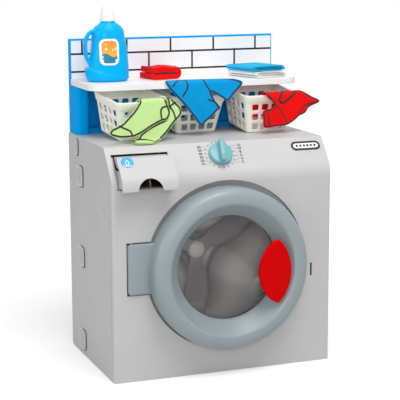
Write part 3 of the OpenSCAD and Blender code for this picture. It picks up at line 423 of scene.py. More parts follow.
def emptied(owner):
    """A material's or world's node tree with nothing in it, ready for new nodes."""
    owner.use_nodes = True
    owner.node_tree.nodes.clear()
    return Maker(owner.node_tree, owner)


def new_finish(name):
    """The maker of a new material's nodes, and the place on the piece."""
    maker = emptied(bpy.data.materials.new(name))
    return maker, maker.place()


def close_finish(maker, base, rough, normal, **sockets):
    """Adds the shader and returns the material; its further sockets are named with underscores for spaces."""
    put = {"Base Color": base, "Roughness": rough, "Normal": normal}
    put.update({key.replace("_", " "): value for key, value in sockets.items()})
    maker.node("ShaderNodeOutputMaterial", maker.node("ShaderNodeBsdfPrincipled", put=put))
    return maker.owner


def moulded(name, base, rough=0.42, mottle=0.05, grain=0.10, flow=0.0, **sockets):
    """Moulded plastic: faint colour drift, uneven gloss, a fine pebbled skin and a few rub marks."""
    m, where = new_finish(name)
    rubs = m.streaks(where, 60.0, 700.0).ramp(0.66, 0.74)
    paint = m.shades((m.noise(where, 14.0, 4.0) - 0.5) * 1.6 + 0.5, base, 1 - mottle, 1 + mottle)
    paint = m.between(rubs * 0.10, paint, scaled(base, 1.18))
    gloss = rough + (m.noise(where, 90.0, 3.0) - 0.5) * 0.16 + rubs * 0.06
    normal = m.pebbled(where, grain)
    if flow:
        normal = m.bump(m.noise(where, 22.0, 1.0), flow, 0.6, normal)
    return close_finish(m, paint, gloss, normal, **sockets)


def drawer_plastic(name, base, bay_shade):
    """Moulded plastic outside, with painted shade in the drawer's bays behind its front plate."""
    m, where = new_finish(name)
    x, y, z = m.split(where)
    drift = m.noise(where, 14.0, 4.0)
    paint = m.shades((drift - 0.5) * 1.6 + 0.5, base, 0.97, 1.03)
    # painted shade goes behind the plate's upright foot and its sloped face, between the cheeks, over the drawer's
    # floor
    upright = y - (FRONT_Y - DRAWER_OUT) * MM
    sloped = upright * sin(FASCIA_TURN) - (z - FASCIA_Z * MM) * cos(FASCIA_TURN)
    behind = upright.lowest(sloped).ramp(0.0024, 0.0028)
    across = 1.0 - (x - DRAWER_X * MM).one("ABSOLUTE").ramp(0.0496, 0.0500)
    shaded_bays = behind * across * (z > 0.3664)
    # the bays take the darker colour: painted shade, since the bays lie in shade
    paint = m.between(shaded_bays, paint, m.shades(drift, bay_shade, 0.8, 1.2))
    return close_finish(m, paint, 0.44 + (m.noise(where, 90.0, 3.0) - 0.5) * 0.16, m.pebbled(where, 0.10))


def drum_plastic(name, base):
    """Glossy plastic, with painted shade that darkens it deep in the drum, and a painted highlight on the hub's cap.
    """
    m, where = new_finish(name)
    x, y, z = m.split(where)
    drift = m.noise(where, 14.0, 4.0)
    paint = m.shades(drift, base, 0.96, 1.06)
    # painted shade: darker the deeper it lies in the drum
    paint = m.between(y.ramp(-0.050, 0.008) * 0.75, paint, scaled(base, 0.42))
    # painted highlight: the round cap on the hub is painted lighter
    across, up = x - DOOR[0] * MM, z - DOOR[1] * MM
    cap = 1.0 - (across * across + up * up).one("SQRT").ramp(0.0168, 0.0176)
    paint = m.between(cap, paint, scaled(base, 1.15))
    return close_finish(m, paint, 0.20 + drift * 0.06, m.pebbled(where, 0.02), Specular_IOR_Level=0.7)


def metal(name, base, rough=0.28):
    """Plated steel with fine lines and a little tarnish."""
    m, where = new_finish(name)
    lines = m.streaks(where, 300.0, 4000.0)
    tarnish = m.noise(where, 160.0, 4.0).ramp(0.52, 0.78)
    paint = m.between(tarnish * 0.5, base, scaled(base, 0.62))
    return close_finish(m, paint, rough + lines * 0.12 + tarnish * 0.12, m.bump(lines, 0.12, 0.05), Metallic=1.0)


def cloth(name, base, thread=0.55, depth=0.5):
    """Woven felt-like cloth: crossing threads, fuzz and a slightly uneven dye. Reads the piece's own UV map."""
    m, _ = new_finish(name)
    where = m.node("ShaderNodeUVMap", uv_map="UVMap")
    u, v, _ = m.split(where)
    turns = 2 * pi / (thread * MM)
    weave = (u * turns).one("SINE") * (v * turns).one("SINE")
    fuzz = m.noise(where, 900.0, 3.0)
    drift = m.noise(where, 45.0, 3.0)
    shade = weave * 0.10 + (fuzz - 0.5) * 0.22 + (drift - 0.5) * 0.35 + 0.5
    return close_finish(m, m.shades(shade, base, 0.86, 1.12), 0.86 + (fuzz - 0.5) * 0.12,
                        m.bump(weave * 0.5 + fuzz, depth, 0.16),
                        Sheen_Weight=0.05, Sheen_Roughness=0.5, Specular_IOR_Level=0.12)


def printed(name, base):
    """A thin layer of printing ink, slightly uneven."""
    m, where = new_finish(name)
    wear = m.noise(where, 420.0, 3.0)
    return close_finish(m, m.shades(wear, base, 0.85, 1.15), 0.5 + (wear - 0.5) * 0.2, m.bump(wear, 0.08, 0.04))


def tiles(name, tile, line):
    """Sheet printed with a wall of long tiles, every second row set off by half a tile."""
    m, where = new_finish(name)
    x, _, z = m.split(where)
    pitch, rise, first_joint, first_row = 0.0925, 0.035, 0.0401, 0.5555
    row = (z - first_row) / rise
    step = row.one("FLOOR")
    odd = (step * 0.5).one("FRACT") * 2.0
    along = ((x - first_joint) / pitch + odd * 0.5).one("FRACT")
    up = row.one("FRACT")
    edge_x = (along.lowest(1.0 - along)) * pitch + (row < 0.0)
    edge_z = (up.lowest(1.0 - up)) * rise
    joint = 1.0 - edge_x.lowest(edge_z).ramp(0.0016, 0.0021)
    face = m.shades(m.noise(where, 18.0, 3.0), tile, 0.96, 1.03)
    shine = m.noise(where, 260.0, 2.0)
    return close_finish(m, m.between(joint, face, line), 0.30 + shine * 0.12, m.bump(shine, 0.06, 0.08))


def snap_plastic(name, base):
    """Snap covers: a painted highlight inside the rim, a painted shadow along the rim's front side, and two marks on
    each.
    """
    m, where = new_finish(name)
    _, y, z = m.split(where)
    light = dark = marks = y * 0.0
    # each cover's middle, width and height
    for y0, z0, w, h in ((0.060, 0.032, 0.044, 0.042), (0.060, 0.200, 0.044, 0.042), (0.060, 0.360, 0.044, 0.042),
                         (0.080, 0.414, 0.024, 0.034)):
        across, up = (y - y0).one("ABSOLUTE"), (z - z0).one("ABSOLUTE")
        a, b = (across - (w / 2 - 0.009)).highest(0.0), (up - (h / 2 - 0.009)).highest(0.0)
        reach = (a * a + b * b).one("SQRT")
        front = (y0 + 0.002 - y).ramp(0.0, 0.006)
        here = reach < 0.0096
        # painted shadow: a dark line along each rim's front side
        dark = dark.highest(reach.ramp(0.0068, 0.0076) * front * here)
        # painted highlight: a light line just inside each rim
        light = light.highest(reach.ramp(0.0040, 0.0052) * (1.0 - reach.ramp(0.0066, 0.0074)) * here)
        spot = (up - 0.003).one("ABSOLUTE").highest(across - 0.0005)
        marks = marks.highest(1.0 - spot.ramp(0.0012, 0.0020))
    drift = m.noise(where, 14.0, 4.0)
    paint = m.shades(drift, base, 0.97, 1.03)
    # the painted highlight, the marks, then the painted shadow
    paint = m.between(light, paint, scaled(base, 1.32))
    paint = m.between(marks * 0.45, paint, scaled(base, 0.35))
    paint = m.between(dark, paint, scaled(base, 0.22))
    return close_finish(m, paint, 0.42 + drift * 0.08, m.bump(m.noise(where, 900.0, 2.0), 0.08, 0.1))


def clear_plastic(name):
    """Clear plastic: see-through face on, mirror-like edge on, with faint moulding waves."""
    m, where = new_finish(name)
    normal = m.bump(m.noise(where, 12.0, 1.0), 0.10, 2.0)
    edge = m.node("ShaderNodeFresnel", 1.45)
    haze = m.noise(where, 60.0, 3.0)
    alpha = edge * 1.1 + haze * 0.02 - 0.02
    return close_finish(m, colour(150, 156, 158), 0.05 + haze * 0.03, normal, Alpha=alpha,
                        Specular_IOR_Level=1.0)


FINISHES = {}


def finish(name):
    return FINISHES[name]


# ------------------------------------------------------------------ settings that a user would change

def tint(name, description, *rgb):
    return FloatVectorProperty(name=name, description=description, subtype="COLOR", size=4, default=colour(*rgb),
                               min=0, max=1)


def amount(kind, name, description, default, low, high):
    return kind(name=name, description=description, default=default, min=low, max=high)


class LaundryColours(bpy.types.PropertyGroup):
    """Colours of the moulded pieces and cloths."""

    cabinet: tint("Cabinet", "Cabinet panels", 197, 197, 196)
    door: tint("Door ring", "Door ring and hinge block", 149, 161, 165)
    handle: tint("Door handle", "Lens-shaped handle", 212, 0, 4)
    drum: tint("Drum", "Drum and its lifters", 240, 236, 234)
    knob: tint("Knob", "Programme knob", 124, 180, 186)
    hutch: tint("Hutch", "Hutch back and pillars", 0, 168, 248)
    shelf: tint("Shelf", "Shelf on the hutch", 246, 247, 248)
    basket: tint("Baskets", "Three laundry baskets", 255, 252, 242)
    bottle: tint("Bottle", "Bottle without its cap", 0, 178, 242)
    socks: tint("Socks", "Pair of socks", 200, 232, 154)
    shirt: tint("Shirt", "Shirt over the shelf's edge", 0, 156, 222)
    shorts: tint("Shorts", "Shorts and the folded red cloth", 240, 6, 10)


class LaundrySizes(bpy.types.PropertyGroup):
    """Sizes and numbers of the details that only the looks have."""

    door_steps: amount(IntProperty, "Door steps", "Steps round the door ring", 160, 48, 256)
    dial_dots: amount(IntProperty, "Dial dots", "Dots round the knob", 18, 6, 36)
    dial_radius: amount(FloatProperty, "Dial radius", "Radius of the ring of dots, in millimetres", 28.5, 25.0, 34.0)
    hole_columns: amount(IntProperty, "Hole columns", "Holes along the front of a basket", 4, 3, 7)
    hole_side_columns: amount(IntProperty, "Side hole columns", "Holes along the side of a basket", 4, 2, 6)
    hole_rows: amount(IntProperty, "Hole rows", "Rows of holes in a basket", 3, 2, 4)
    cap_ribs: amount(IntProperty, "Cap ribs", "Ribs round the bottle's cap", 24, 8, 48)
    print_width: amount(FloatProperty, "Printed line", "Width of the lines on the clothes, in millimetres", 2.6,
                        0.5, 4.0)


def sizes():
    return bpy.context.scene.laundry_sizes


def colours():
    return bpy.context.scene.laundry_colours


# ------------------------------------------------------------------ repeats made by geometry nodes

def repeat_tree(name, numbers):
    """A geometry node tree with a geometry input and named number inputs."""
    tree = bpy.data.node_groups.new(name, "GeometryNodeTree")
    tree.interface.new_socket("Geometry", in_out="INPUT", socket_type="NodeSocketGeometry")
    for label, default in numbers:
        kind = "NodeSocketInt" if isinstance(default, int) else "NodeSocketFloat"
        tree.interface.new_socket(label, in_out="INPUT", socket_type=kind).default_value = default
    tree.interface.new_socket("Finish", in_out="INPUT", socket_type="NodeSocketMaterial")
    tree.interface.new_socket("Geometry", in_out="OUTPUT", socket_type="NodeSocketGeometry")
    maker = Maker(tree)
    source = tree.nodes.new("NodeGroupInput")
    return tree, maker, {s.name: Term(maker, s) for s in source.outputs if s.name}


def read_back(holder):
    """The finished mesh of a passing object as verts and faces; the object and its mesh are removed."""
    source = holder.data
    bpy.context.scene.collection.objects.link(holder)
    bpy.context.view_layer.update()
    made = bpy.data.meshes.new_from_object(holder.evaluated_get(bpy.context.evaluated_depsgraph_get()))
    result = [v.co.copy() for v in made.vertices], [tuple(p.vertices) for p in made.polygons]
    bpy.data.objects.remove(holder)
    bpy.data.meshes.remove(made)
    (bpy.data.meshes if isinstance(source, bpy.types.Mesh) else bpy.data.curves).remove(source)
    return result


def close_tree(maker, result, values):
    real = maker.node("GeometryNodeRealizeInstances", result)
    done = maker.node("GeometryNodeSetMaterial", real, put={"Material": values["Finish"]})
    maker.node("NodeGroupOutput", done)


def grown(tree, verts, faces, values, material):
    """What a repeat_tree makes of a small mesh, as verts and faces; values are for its number inputs."""
    mesh = bpy.data.meshes.new("repeat source")
    mesh.from_pydata([tuple(v) for v in verts], [], faces)
    holder = bpy.data.objects.new("repeat holder", mesh)
    mod = holder.modifiers.new("repeat", "NODES")
    mod.node_group = tree
    for item in tree.interface.items_tree:
        if item.in_out == "INPUT" and item.name in values:
            mod[item.identifier] = values[item.name]
        if item.in_out == "INPUT" and item.name == "Finish":
            mod[item.identifier] = material
    return read_back(holder)


def ring_repeat():
    """Copies of a small shape set round the z axis, each turned with its place."""
    tree, m, v = repeat_tree("copies round an axis", [("Count", 12), ("Radius", 0.02), ("Start", 0.0),
                                                      ("Sweep", 2 * pi)])
    points = m.node("GeometryNodePoints", v["Count"])
    index = m.node("GeometryNodeInputIndex")
    angle = v["Start"] + index * v["Sweep"] / v["Count"]
    where = m.node("ShaderNodeCombineXYZ", angle.one("COSINE") * v["Radius"], angle.one("SINE") * v["Radius"], 0.0)
    placed = m.node("GeometryNodeSetPosition", points, put={"Position": where})
    turn = m.node("ShaderNodeCombineXYZ", 0.0, 0.0, angle)
    copies = m.node("GeometryNodeInstanceOnPoints", placed, put={"Instance": v["Geometry"], "Rotation": turn})
    close_tree(m, copies, v)
    return tree


def wall_repeat():
    """A basket's wall: one holed tile repeated in rows and columns, then leant out and widened with height."""
    tree, m, v = repeat_tree("perforated wall", [("Columns", 5), ("Rows", 3), ("Low", 0.01), ("High", 0.066),
                                                 ("Width", 0.066), ("Widening", 0.2), ("Reach", 0.044),
                                                 ("Leaning", 0.14), ("Turn", 0.0)])
    grid = m.node("GeometryNodeMeshGrid", 1.0, 1.0, v["Columns"] + 0.0, v["Rows"] + 0.0)
    sx, sy, _ = m.split(m.node("GeometryNodeInputPosition"))
    # a grid's points reach its edges, so they are drawn in to the middles of the cells
    cx = sx * (v["Columns"] - 1.0) / v["Columns"]
    cy = sy * (v["Rows"] - 1.0) / v["Rows"]
    spread = m.node("GeometryNodeSetPosition", grid, put={"Position": m.node("ShaderNodeCombineXYZ", cx, cy, 0.0)})
    size = m.node("ShaderNodeCombineXYZ", 1.0 / v["Columns"], 1.0 / v["Rows"], 1.0)
    copies = m.node("GeometryNodeInstanceOnPoints", spread, put={"Instance": v["Geometry"], "Scale": size})
    real = m.node("GeometryNodeRealizeInstances", copies)
    px, py, _ = m.split(m.node("GeometryNodeInputPosition"))
    z = v["Low"] + (py + 0.5) * (v["High"] - v["Low"])
    x = px * (v["Width"] + v["Widening"] * z)
    y = (v["Reach"] + v["Leaning"] * z) * -1.0
    c, s = v["Turn"].one("COSINE"), v["Turn"].one("SINE")
    bent = m.node("GeometryNodeSetPosition", real,
                  put={"Position": m.node("ShaderNodeCombineXYZ", x * c - y * s, x * s + y * c, z)})
    close_tree(m, bent, v)
    return tree


def disc(radius, thick):
    """A low round dot, its foot on z = 0."""
    ring = [Vector((radius * c, radius * s, 0)) for c, s in round_points(14)]
    return lofted([ring, [p + Vector((0, 0, thick)) for p in ring]], capped=True)


def stage_on_fascia(parts, x, u, turn=0.0, out=0.0):
    """Moves shapes drawn about z onto the fascia, about the point x, u."""
    places = []
    for p in parts[0]:
        px, py = rotated(p.x, p.y, turn)
        places.append(on_fascia(x + px / MM, u + py / MM, out + p.z / MM))
    return places, parts[1]


# ------------------------------------------------------------------ operators

class LAUNDRY_OT_stage(bpy.types.Operator):
    """Floor, pale background, soft lights and the camera."""

    bl_idname = "laundry.stage"
    bl_label = "Stage"

    def execute(self, context):
        scene = context.scene
        scene.view_settings.view_transform = "Standard"
        self.camera(scene)
        self.floor()
        self.world(scene)
        self.lamp("front light", (-1.0, -2.9, 1.2), (0, -0.1, 0.25), 0.8, 12.6)
        self.lamp("top light", (0.1, -1.2, 2.6), (0, 0, 0.4), 1.4, 35.0)
        self.lamp("left light", (-2.6, -0.9, 1.2), (0, 0, 0.3), 1.2, 10.0)
        return {"FINISHED"}

    def camera(self, scene):
        azimuth, height, roll = (radians(a) for a in (-20.840, 10.472, -0.221))
        back = Vector((sin(azimuth) * cos(height), -cos(azimuth) * cos(height), sin(height)))
        across = Vector((0, 0, 1)).cross(back).normalized()
        up = back.cross(across)
        x = cos(roll) * across + sin(roll) * up
        y = -sin(roll) * across + cos(roll) * up
        data = bpy.data.cameras.new("camera")
        data.sensor_width = 36.0
        data.lens = 122.562
        camera = bpy.data.objects.new("camera", data)
        camera.matrix_world = Matrix((x, y, back)).transposed().to_4x4()
        camera.location = (-0.9322, -2.4644, 0.7943)
        scene.collection.objects.link(camera)
        scene.camera = camera

    def floor(self):
        m, where = new_finish("pale floor")
        x, y, _ = m.split(where)
        drift = m.noise(where, 3.0)
        paint = m.between(drift, (0.70, 0.70, 0.70, 1), (0.73, 0.73, 0.73, 1))
        seen = m.node("ShaderNodeLightPath")
        matt = m.node("ShaderNodeBsdfPrincipled", put={"Base Color": paint, "Roughness": 0.9,
                                                       "Specular IOR Level": 0.1})
        away = (x * x + y * y).one("SQRT").ramp(0.30, 1.50)
        # the floor glows less near the toy, which leaves a soft contact shadow
        pale = m.between(away, (0.66, 0.66, 0.66, 1), (1, 1, 1, 1))
        glow = m.node("ShaderNodeEmission", put={"Color": pale, "Strength": seen * 0.57})
        m.node("ShaderNodeOutputMaterial", m.node("ShaderNodeAddShader", matt, glow))
        r = 14.0
        floor = piece("floor", [(-r, -r, -0.0004), (r, -r, -0.0004), (r, r, -0.0004), (-r, r, -0.0004)],
                      [(0, 1, 2, 3)], m.owner)
        if floor.data.polygons[0].normal.z < 0:
            floor.data.flip_normals()

    def world(self, scene):
        world = bpy.data.worlds.new("pale room")
        m = emptied(world)
        seen = m.node("ShaderNodeLightPath")
        direct = seen.highest(seen.other("Is Glossy Ray") * 0.85).highest(seen.other("Is Transmission Ray"))
        # more light from overhead than from the sides
        _, _, up = m.split(m.place("Generated"))
        soft = up.highest(0.0) * 0.42 + 0.31
        light = m.node("ShaderNodeBackground", put={"Color": (1, 1, 1, 1), "Strength": direct * (1.0 - soft) + soft})
        m.node("ShaderNodeOutputWorld", light)
        scene.world = world

    def lamp(self, name, place, target, size, power):
        data = bpy.data.lights.new(name, "AREA")
        data.shape = "DISK"
        data.size = size
        data.energy = power
        lamp = bpy.data.objects.new(name, data)
        lamp.location = place
        lamp.rotation_euler = (Vector(target) - Vector(place)).to_track_quat("-Z", "Y").to_euler()
        bpy.context.scene.collection.objects.link(lamp)


class LAUNDRY_OT_finishes(bpy.types.Operator):
    """All materials, and those of the CAD nodes that stay."""

    bl_idname = "laundry.finishes"
    bl_label = "Finishes"

    def execute(self, context):
        c = colours()
        FINISHES.update({
            "cabinet": moulded("cabinet plastic", c.cabinet, 0.46, 0.03, 0.10, 0.05),
            "pad": moulded("snap pad plastic", scaled(c.cabinet, 0.86), 0.40, 0.04),
            "inner": moulded("inner grey plastic", colour(176, 176, 176), 0.55),
            "door": moulded("door plastic", c.door, 0.36, 0.03, 0.06, 0.04),
            "snap": snap_plastic("snap cover plastic", scaled(c.cabinet, 0.98)),
            "window": clear_plastic("clear window plastic"),
            "handle": moulded("red handle plastic", c.handle, 0.34, 0.04, 0.03, Specular_IOR_Level=0.05),
            "drum": drum_plastic("drum plastic", c.drum),
            # drawer plastic; its second colour is the painted shade in the drawer's bays
            "drawer": drawer_plastic("drawer plastic", colour(194, 194, 193), colour(86, 76, 68)),
            "knob": moulded("knob plastic", c.knob, 0.24, 0.05, 0.04, 0.0, Specular_IOR_Level=0.3),
            "steel": metal("zinc-plated steel", colour(196, 198, 200)),
            "spring": metal("contact spring", colour(205, 196, 170), 0.34),
            "bush": moulded("nylon", colour(232, 230, 220), 0.48),
            "dark": moulded("dark plastic", colour(56, 58, 62), 0.50, 0.08),
            "board": moulded("circuit board", colour(26, 102, 58), 0.38, 0.10),
            "battery": moulded("battery jacket", colour(66, 70, 78), 0.30, 0.06),
            "lead": moulded("lead insulation", colour(196, 40, 34), 0.42),
            "hutch": moulded("hutch plastic", c.hutch, 0.48, 0.04, 0.08, 0.05, Specular_IOR_Level=0.02),
            "shelf": moulded("shelf plastic", c.shelf, 0.40, 0.02, 0.06),
            "tiles": tiles("tile print", colour(246, 246, 248), colour(14, 14, 16)),
            "basket": moulded("basket plastic", c.basket, 0.42, 0.03, 0.08, Specular_IOR_Level=0.3),
            "bottle": moulded("bottle plastic", c.bottle, 0.22, 0.04, 0.04, 0.05, Specular_IOR_Level=0.12),
            "cap": moulded("cap plastic", colour(242, 243, 245), 0.38, 0.02),
            "socks": cloth("sock cloth", c.socks),
            "shirt": cloth("shirt cloth", c.shirt),
            "shorts": cloth("shorts cloth", c.shorts),
            "blue cloth": cloth("blue towel cloth", colour(20, 186, 236), 0.8, 0.7),
            "white cloth": cloth("white towel cloth", colour(248, 249, 250), 0.8, 0.7),
            "black ink": printed("black ink", colour(20, 22, 24)),
            "green ink": printed("dark green ink", colour(24, 34, 20)),
            "navy ink": printed("navy ink", colour(10, 22, 52)),
            "maroon ink": printed("maroon ink", colour(72, 8, 12)),
            "blue ink": printed("light blue ink", colour(40, 168, 222)),
            "white ink": printed("white ink", colour(244, 245, 246)),
        })
        stays = {
            "cabinet": ("front_panel", "side_left", "side_right", "top_panel", "back_panel", "base_panel"),
            "snap": ("snap_covers_left", "snap_covers_right"),
            "pad": ("battery_cover",),
            "inner": ("drum_housing", "drawer_housing", "battery_box"),
            "door": ("door_back_ring",),
            "steel": ("panel_screws", "drum_axle", "axle_clip", "housing_screws", "hinge_pin", "battery_screw",
                      "shelf_screws", "hutch_screws", "switch_shaft"),
            "spring": ("battery_contacts",),
            "bush": ("drum_bush",),
            "dark": ("rotary_switch", "speaker", "power_switch_body", "power_slider", "door_catch"),
            "board": ("sound_board",),
            "battery": ("batteries",),
            "lead": ("wiring",),
            "tiles": ("backsplash_sheet",),
        }
        for name, nodes in stays.items():
            for node in nodes:
                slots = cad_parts[node].material_slots
                if not slots:
                    raise RuntimeError(f"{node} has no material slot")
                for s in slots:
                    s.material = finish(name)
        return {"FINISHED"}


class LAUNDRY_OT_door(bpy.types.Operator):
    """Door ring with its hinge block, clear window and red handle."""

    bl_idname = "laundry.door"
    bl_label = "Door"

    def execute(self, context):
        self.ring()
        self.window()
        self.handle()
        return {"FINISHED"}

    def ring(self):
        outer = [(154.0, -2.0), (154.0, 6.0), (154.0, 16.0)]
        for k in range(21):
            a = radians(90 * k / 20)
            outer.append((129 + 25 * cos(a) ** 0.86, 27 + 18 * sin(a) ** 0.86))
        for k in range(1, 9):
            a = radians(62 * k / 8)
            outer.append((129 - 8 * sin(a), 37 + 8 * cos(a)))
        outer += [(118.4, 36.8), (112.5, 29.2), (106.4, 21.2), (102.6, 15.8), (101.4, 14.0), (101.0, 13.0),
                  (101.0, 10.4), (101.4, 10.0), (108.0, 10.0)]
        inner = [(112.5, 23.0), (116.5, 28.6), (121.0, 35.5), (127.0, 40.5), (132.0, 41.6), (140.0, 39.6),
                 (147.0, 34.6), (150.6, 28.0), (151.0, 20.0), (151.0, -2.0)]
        steps = sizes().door_steps
        ring = piece("door_ring_shell", *turned(outer + inner, steps, closed=True), finish("door"), 50)
        # hinge block: a round-cornered box that runs into the ring, rounder at its hinge side
        outline = [(-191.6, 5.0), (-191.6, -1.5), (-190.2, -4.0), (-187.0, -4.9), (-172.0, -5.0), (-150.0, -5.0),
                   (-130.0, -5.0), (-130.0, 4.0), (-150.0, 4.0), (-168.0, 4.0), (-176.0, 8.0), (-187.0, 8.2),
                   (-190.5, 7.2)]
        low, high, corner = 166.8, 262.0, 6.0
        heights = [(low + corner * (1 - cos(a)), corner * (1 - sin(a)))
                   for a in (radians(15 * k) for k in range(7))]
        heights += [(low + high - z, pull) for z, pull in reversed(heights)]
        rings = []
        for z, pull in heights:
            soft = min(1.4, pull * 0.4)
            rings.append([at(max(x, -191.6 + pull), min(max(y, -5.0 + soft), 8.2 - soft) + FRONT_Y, z)
                          for x, y in outline])
        # the block ends inside the ring's wall
        block = piece("door_hinge_block", *lofted(rings, capped=True), finish("door"), 50, bevel=0.8)
        settle("door", "door_grey", ring, block, node="door_ring")

    def window(self):
        r0, rise, foot = 100.7, 15.0, 9.7
        ball = (r0 * r0 + rise * rise) / (2 * rise)
        half = asin(r0 / ball)

        def dome(d, n=22):
            return [((ball - d) * sin(half * (1 - k / n)),
                     foot + rise - ball + (ball - d) * cos(half * (1 - k / n))) for k in range(n + 1)]

        inside = dome(2.2)
        profile = [(105.0, 7.5), (105.0, 9.7), (100.9, 9.7)] + dome(0) + inside[::-1] + [(98.3, 7.5)]
        window = piece("window_dome", *turned(profile, sizes().door_steps, closed=True), finish("window"), 50)
        # the moulded bead where the dome meets the ring
        bead = [(100.6 + 0.75 * cos(radians(45 * k)), 10.2 + 0.75 * sin(radians(45 * k)))
                for k in range(8)]
        bead = piece("window_bead", *turned(bead, sizes().door_steps, closed=True), finish("pad"), 60)
        settle("door", "window_clear", window, node="door_window")
        settle("door", "door_grey", bead, node="door_window")

    def handle(self):
        length, wide, thick = 127.0, 65.0, 9.0
        bulge_in = wide * 0.58
        bulge_out = wide - bulge_in
        cx, cz = DOOR[0] + 89.0, DOOR[1] - 8.5
        tip = length / 2 - 2.5
        round_from = tip - 6.0
        lens = {1: (length ** 2 / 4 + bulge_out ** 2) / (2 * bulge_out),
                -1: (length ** 2 / 4 + bulge_in ** 2) / (2 * bulge_in)}
        half = {1: bulge_out, -1: bulge_in}

        def edge(side, z):
            past = max(0.0, abs(z) - round_from) / (tip - round_from)
            return side * ((half[side] - lens[side] + sqrt(max(0.0, lens[side] ** 2 - z * z)))
                           * sqrt(max(0.002, 1 - past * past)))

        heights = [tip * sin(pi * (k / 40 - 0.5)) for k in range(41)]
        outline = [Vector((edge(side, side * z), side * z)) for side in (1, -1) for z in heights]
        rows = [(1.0, 0.0), (1.0, 4.6)]
        rows += [(1 - 0.085 * (1 - cos(a)), 4.6 + 3.0 * sin(a))
                 for a in (radians(15 * k) for k in range(1, 7))]
        rows += [(0.915 * k, 7.6 + 1.4 * (1 - k * k)) for k in (0.8, 0.6, 0.4, 0.2, 0.02)]
        back = FRONT_Y - 47 + thick
        rings = [[at(cx + p.x * s, back - h, cz + p.y * s) for p in outline] for s, h in rows]
        # foot under the grip, in the slope of the ring's funnel
        foot = []
        for out, x0, x1, z in ((38.0, 74, 110, 40), (36.0, 74, 112, 40), (26.0, 78, 107, 38), (17.0, 82, 101, 34)):
            foot.append([at(DOOR[0] + (x0 + x1) / 2 + (x1 - x0) / 2 * c, FRONT_Y - out, cz + z * s * 0.85)
                         for c, s in round_points(24)])
        shape = together(lofted(rings, capped=True), lofted(foot, capped=True))
        handle = piece("lens_handle", *shape, finish("handle"), 60)
        settle("door", "handle_red", handle, node="door_handle")


class LAUNDRY_OT_drum(bpy.types.Operator):
    """The drum: a tub with three broad rounded lobes and a hub."""

    bl_idname = "laundry.drum"
    bl_label = "Drum"

    def execute(self, context):
        r, y0, y1, t = 128.0, -122.0, 25.0, 2.5     # radius, front, back, thickness of the wall
        middles = [radians(90 - 120 * k) for k in range(3)]

        def lobe(angle, y):
            """How far the wall stands in at an angle and depth: three round lobes, fuller towards the back."""
            deep = min(max((y - y0 - 12) / (y1 - y0 - 34), 0.0), 1.0)
            axis, bulge, total = 136 - 20 * deep, 36 + 44 * deep ** 0.9, 0.0
            for k in range(-3, 4):
                off = min(abs(remainder(angle + 0.045 * k - m, 2 * pi)) for m in middles)
                room = bulge ** 2 - (axis * sin(off)) ** 2
                if off < 1.2 and room > 0:
                    total += max(0.0, r - t - axis * cos(off) + sqrt(room)) / 7
            return total * smoothstep((y - y0 - 10) / 22)

        steps = 180
        levels = [y0 + 4 + (y1 - 8 - y0 - 4) * k / 30 for k in range(31)]
        rings = [[spot] * steps for spot in ((r - 8, y0), (r - 8, y0 + t), (r - 4.5, y0 + 3.4))]
        for y in levels[1:]:
            rings.append([(r - t - lobe(2 * pi * k / steps, y), y) for k in range(steps)])
        # the wall rounds into the back, which rises towards the hub
        for part in (0.25, 0.5, 0.75, 1.0):
            a = pi / 2 * part
            rings.append([(r - t - 14 + 14 * cos(a) - lobe(2 * pi * k / steps, y1 - 8),
                           y1 - 8 - 2 + 7.4 * sin(a)) for k in range(steps)])
        for radius in (84, 66, 48, 38, 30, 24):
            swell = 11.0 * smoothstep((62 - radius) / 38)
            rings.append([(min(radius, rings[-1][k][0] - 1.2), y1 - t - swell) for k in range(steps)])
        hub = [(19.5, y1 - 13.8), (17.4, y1 - 14.2), (16.8, y1 - 16.0), (16.0, y1 - 17.0), (6.0, y1 - 17.5),
               (0.0, y1 - 17.6)]
        outside = [(0.0, y1), (r - 20, y1), (r - 6, y1 - 9), (r - 1, y1 - 16), (r, y1 - 24), (r, y0 + 3),
                   (r - 1, y0 + 0.8), (r - 3, y0)]
        rings += [[spot] * steps for spot in hub + outside]
        places = [[from_door(radius, 2 * pi * k / steps, FRONT_Y - y) for k, (radius, y) in enumerate(ring)]
                  for ring in rings]
        drum = piece("drum_tub", *lofted(places, loft_closed=True), finish("drum"), 60)
        settle("drum_group", "drum_taupe", drum, node="drum")
        return {"FINISHED"}


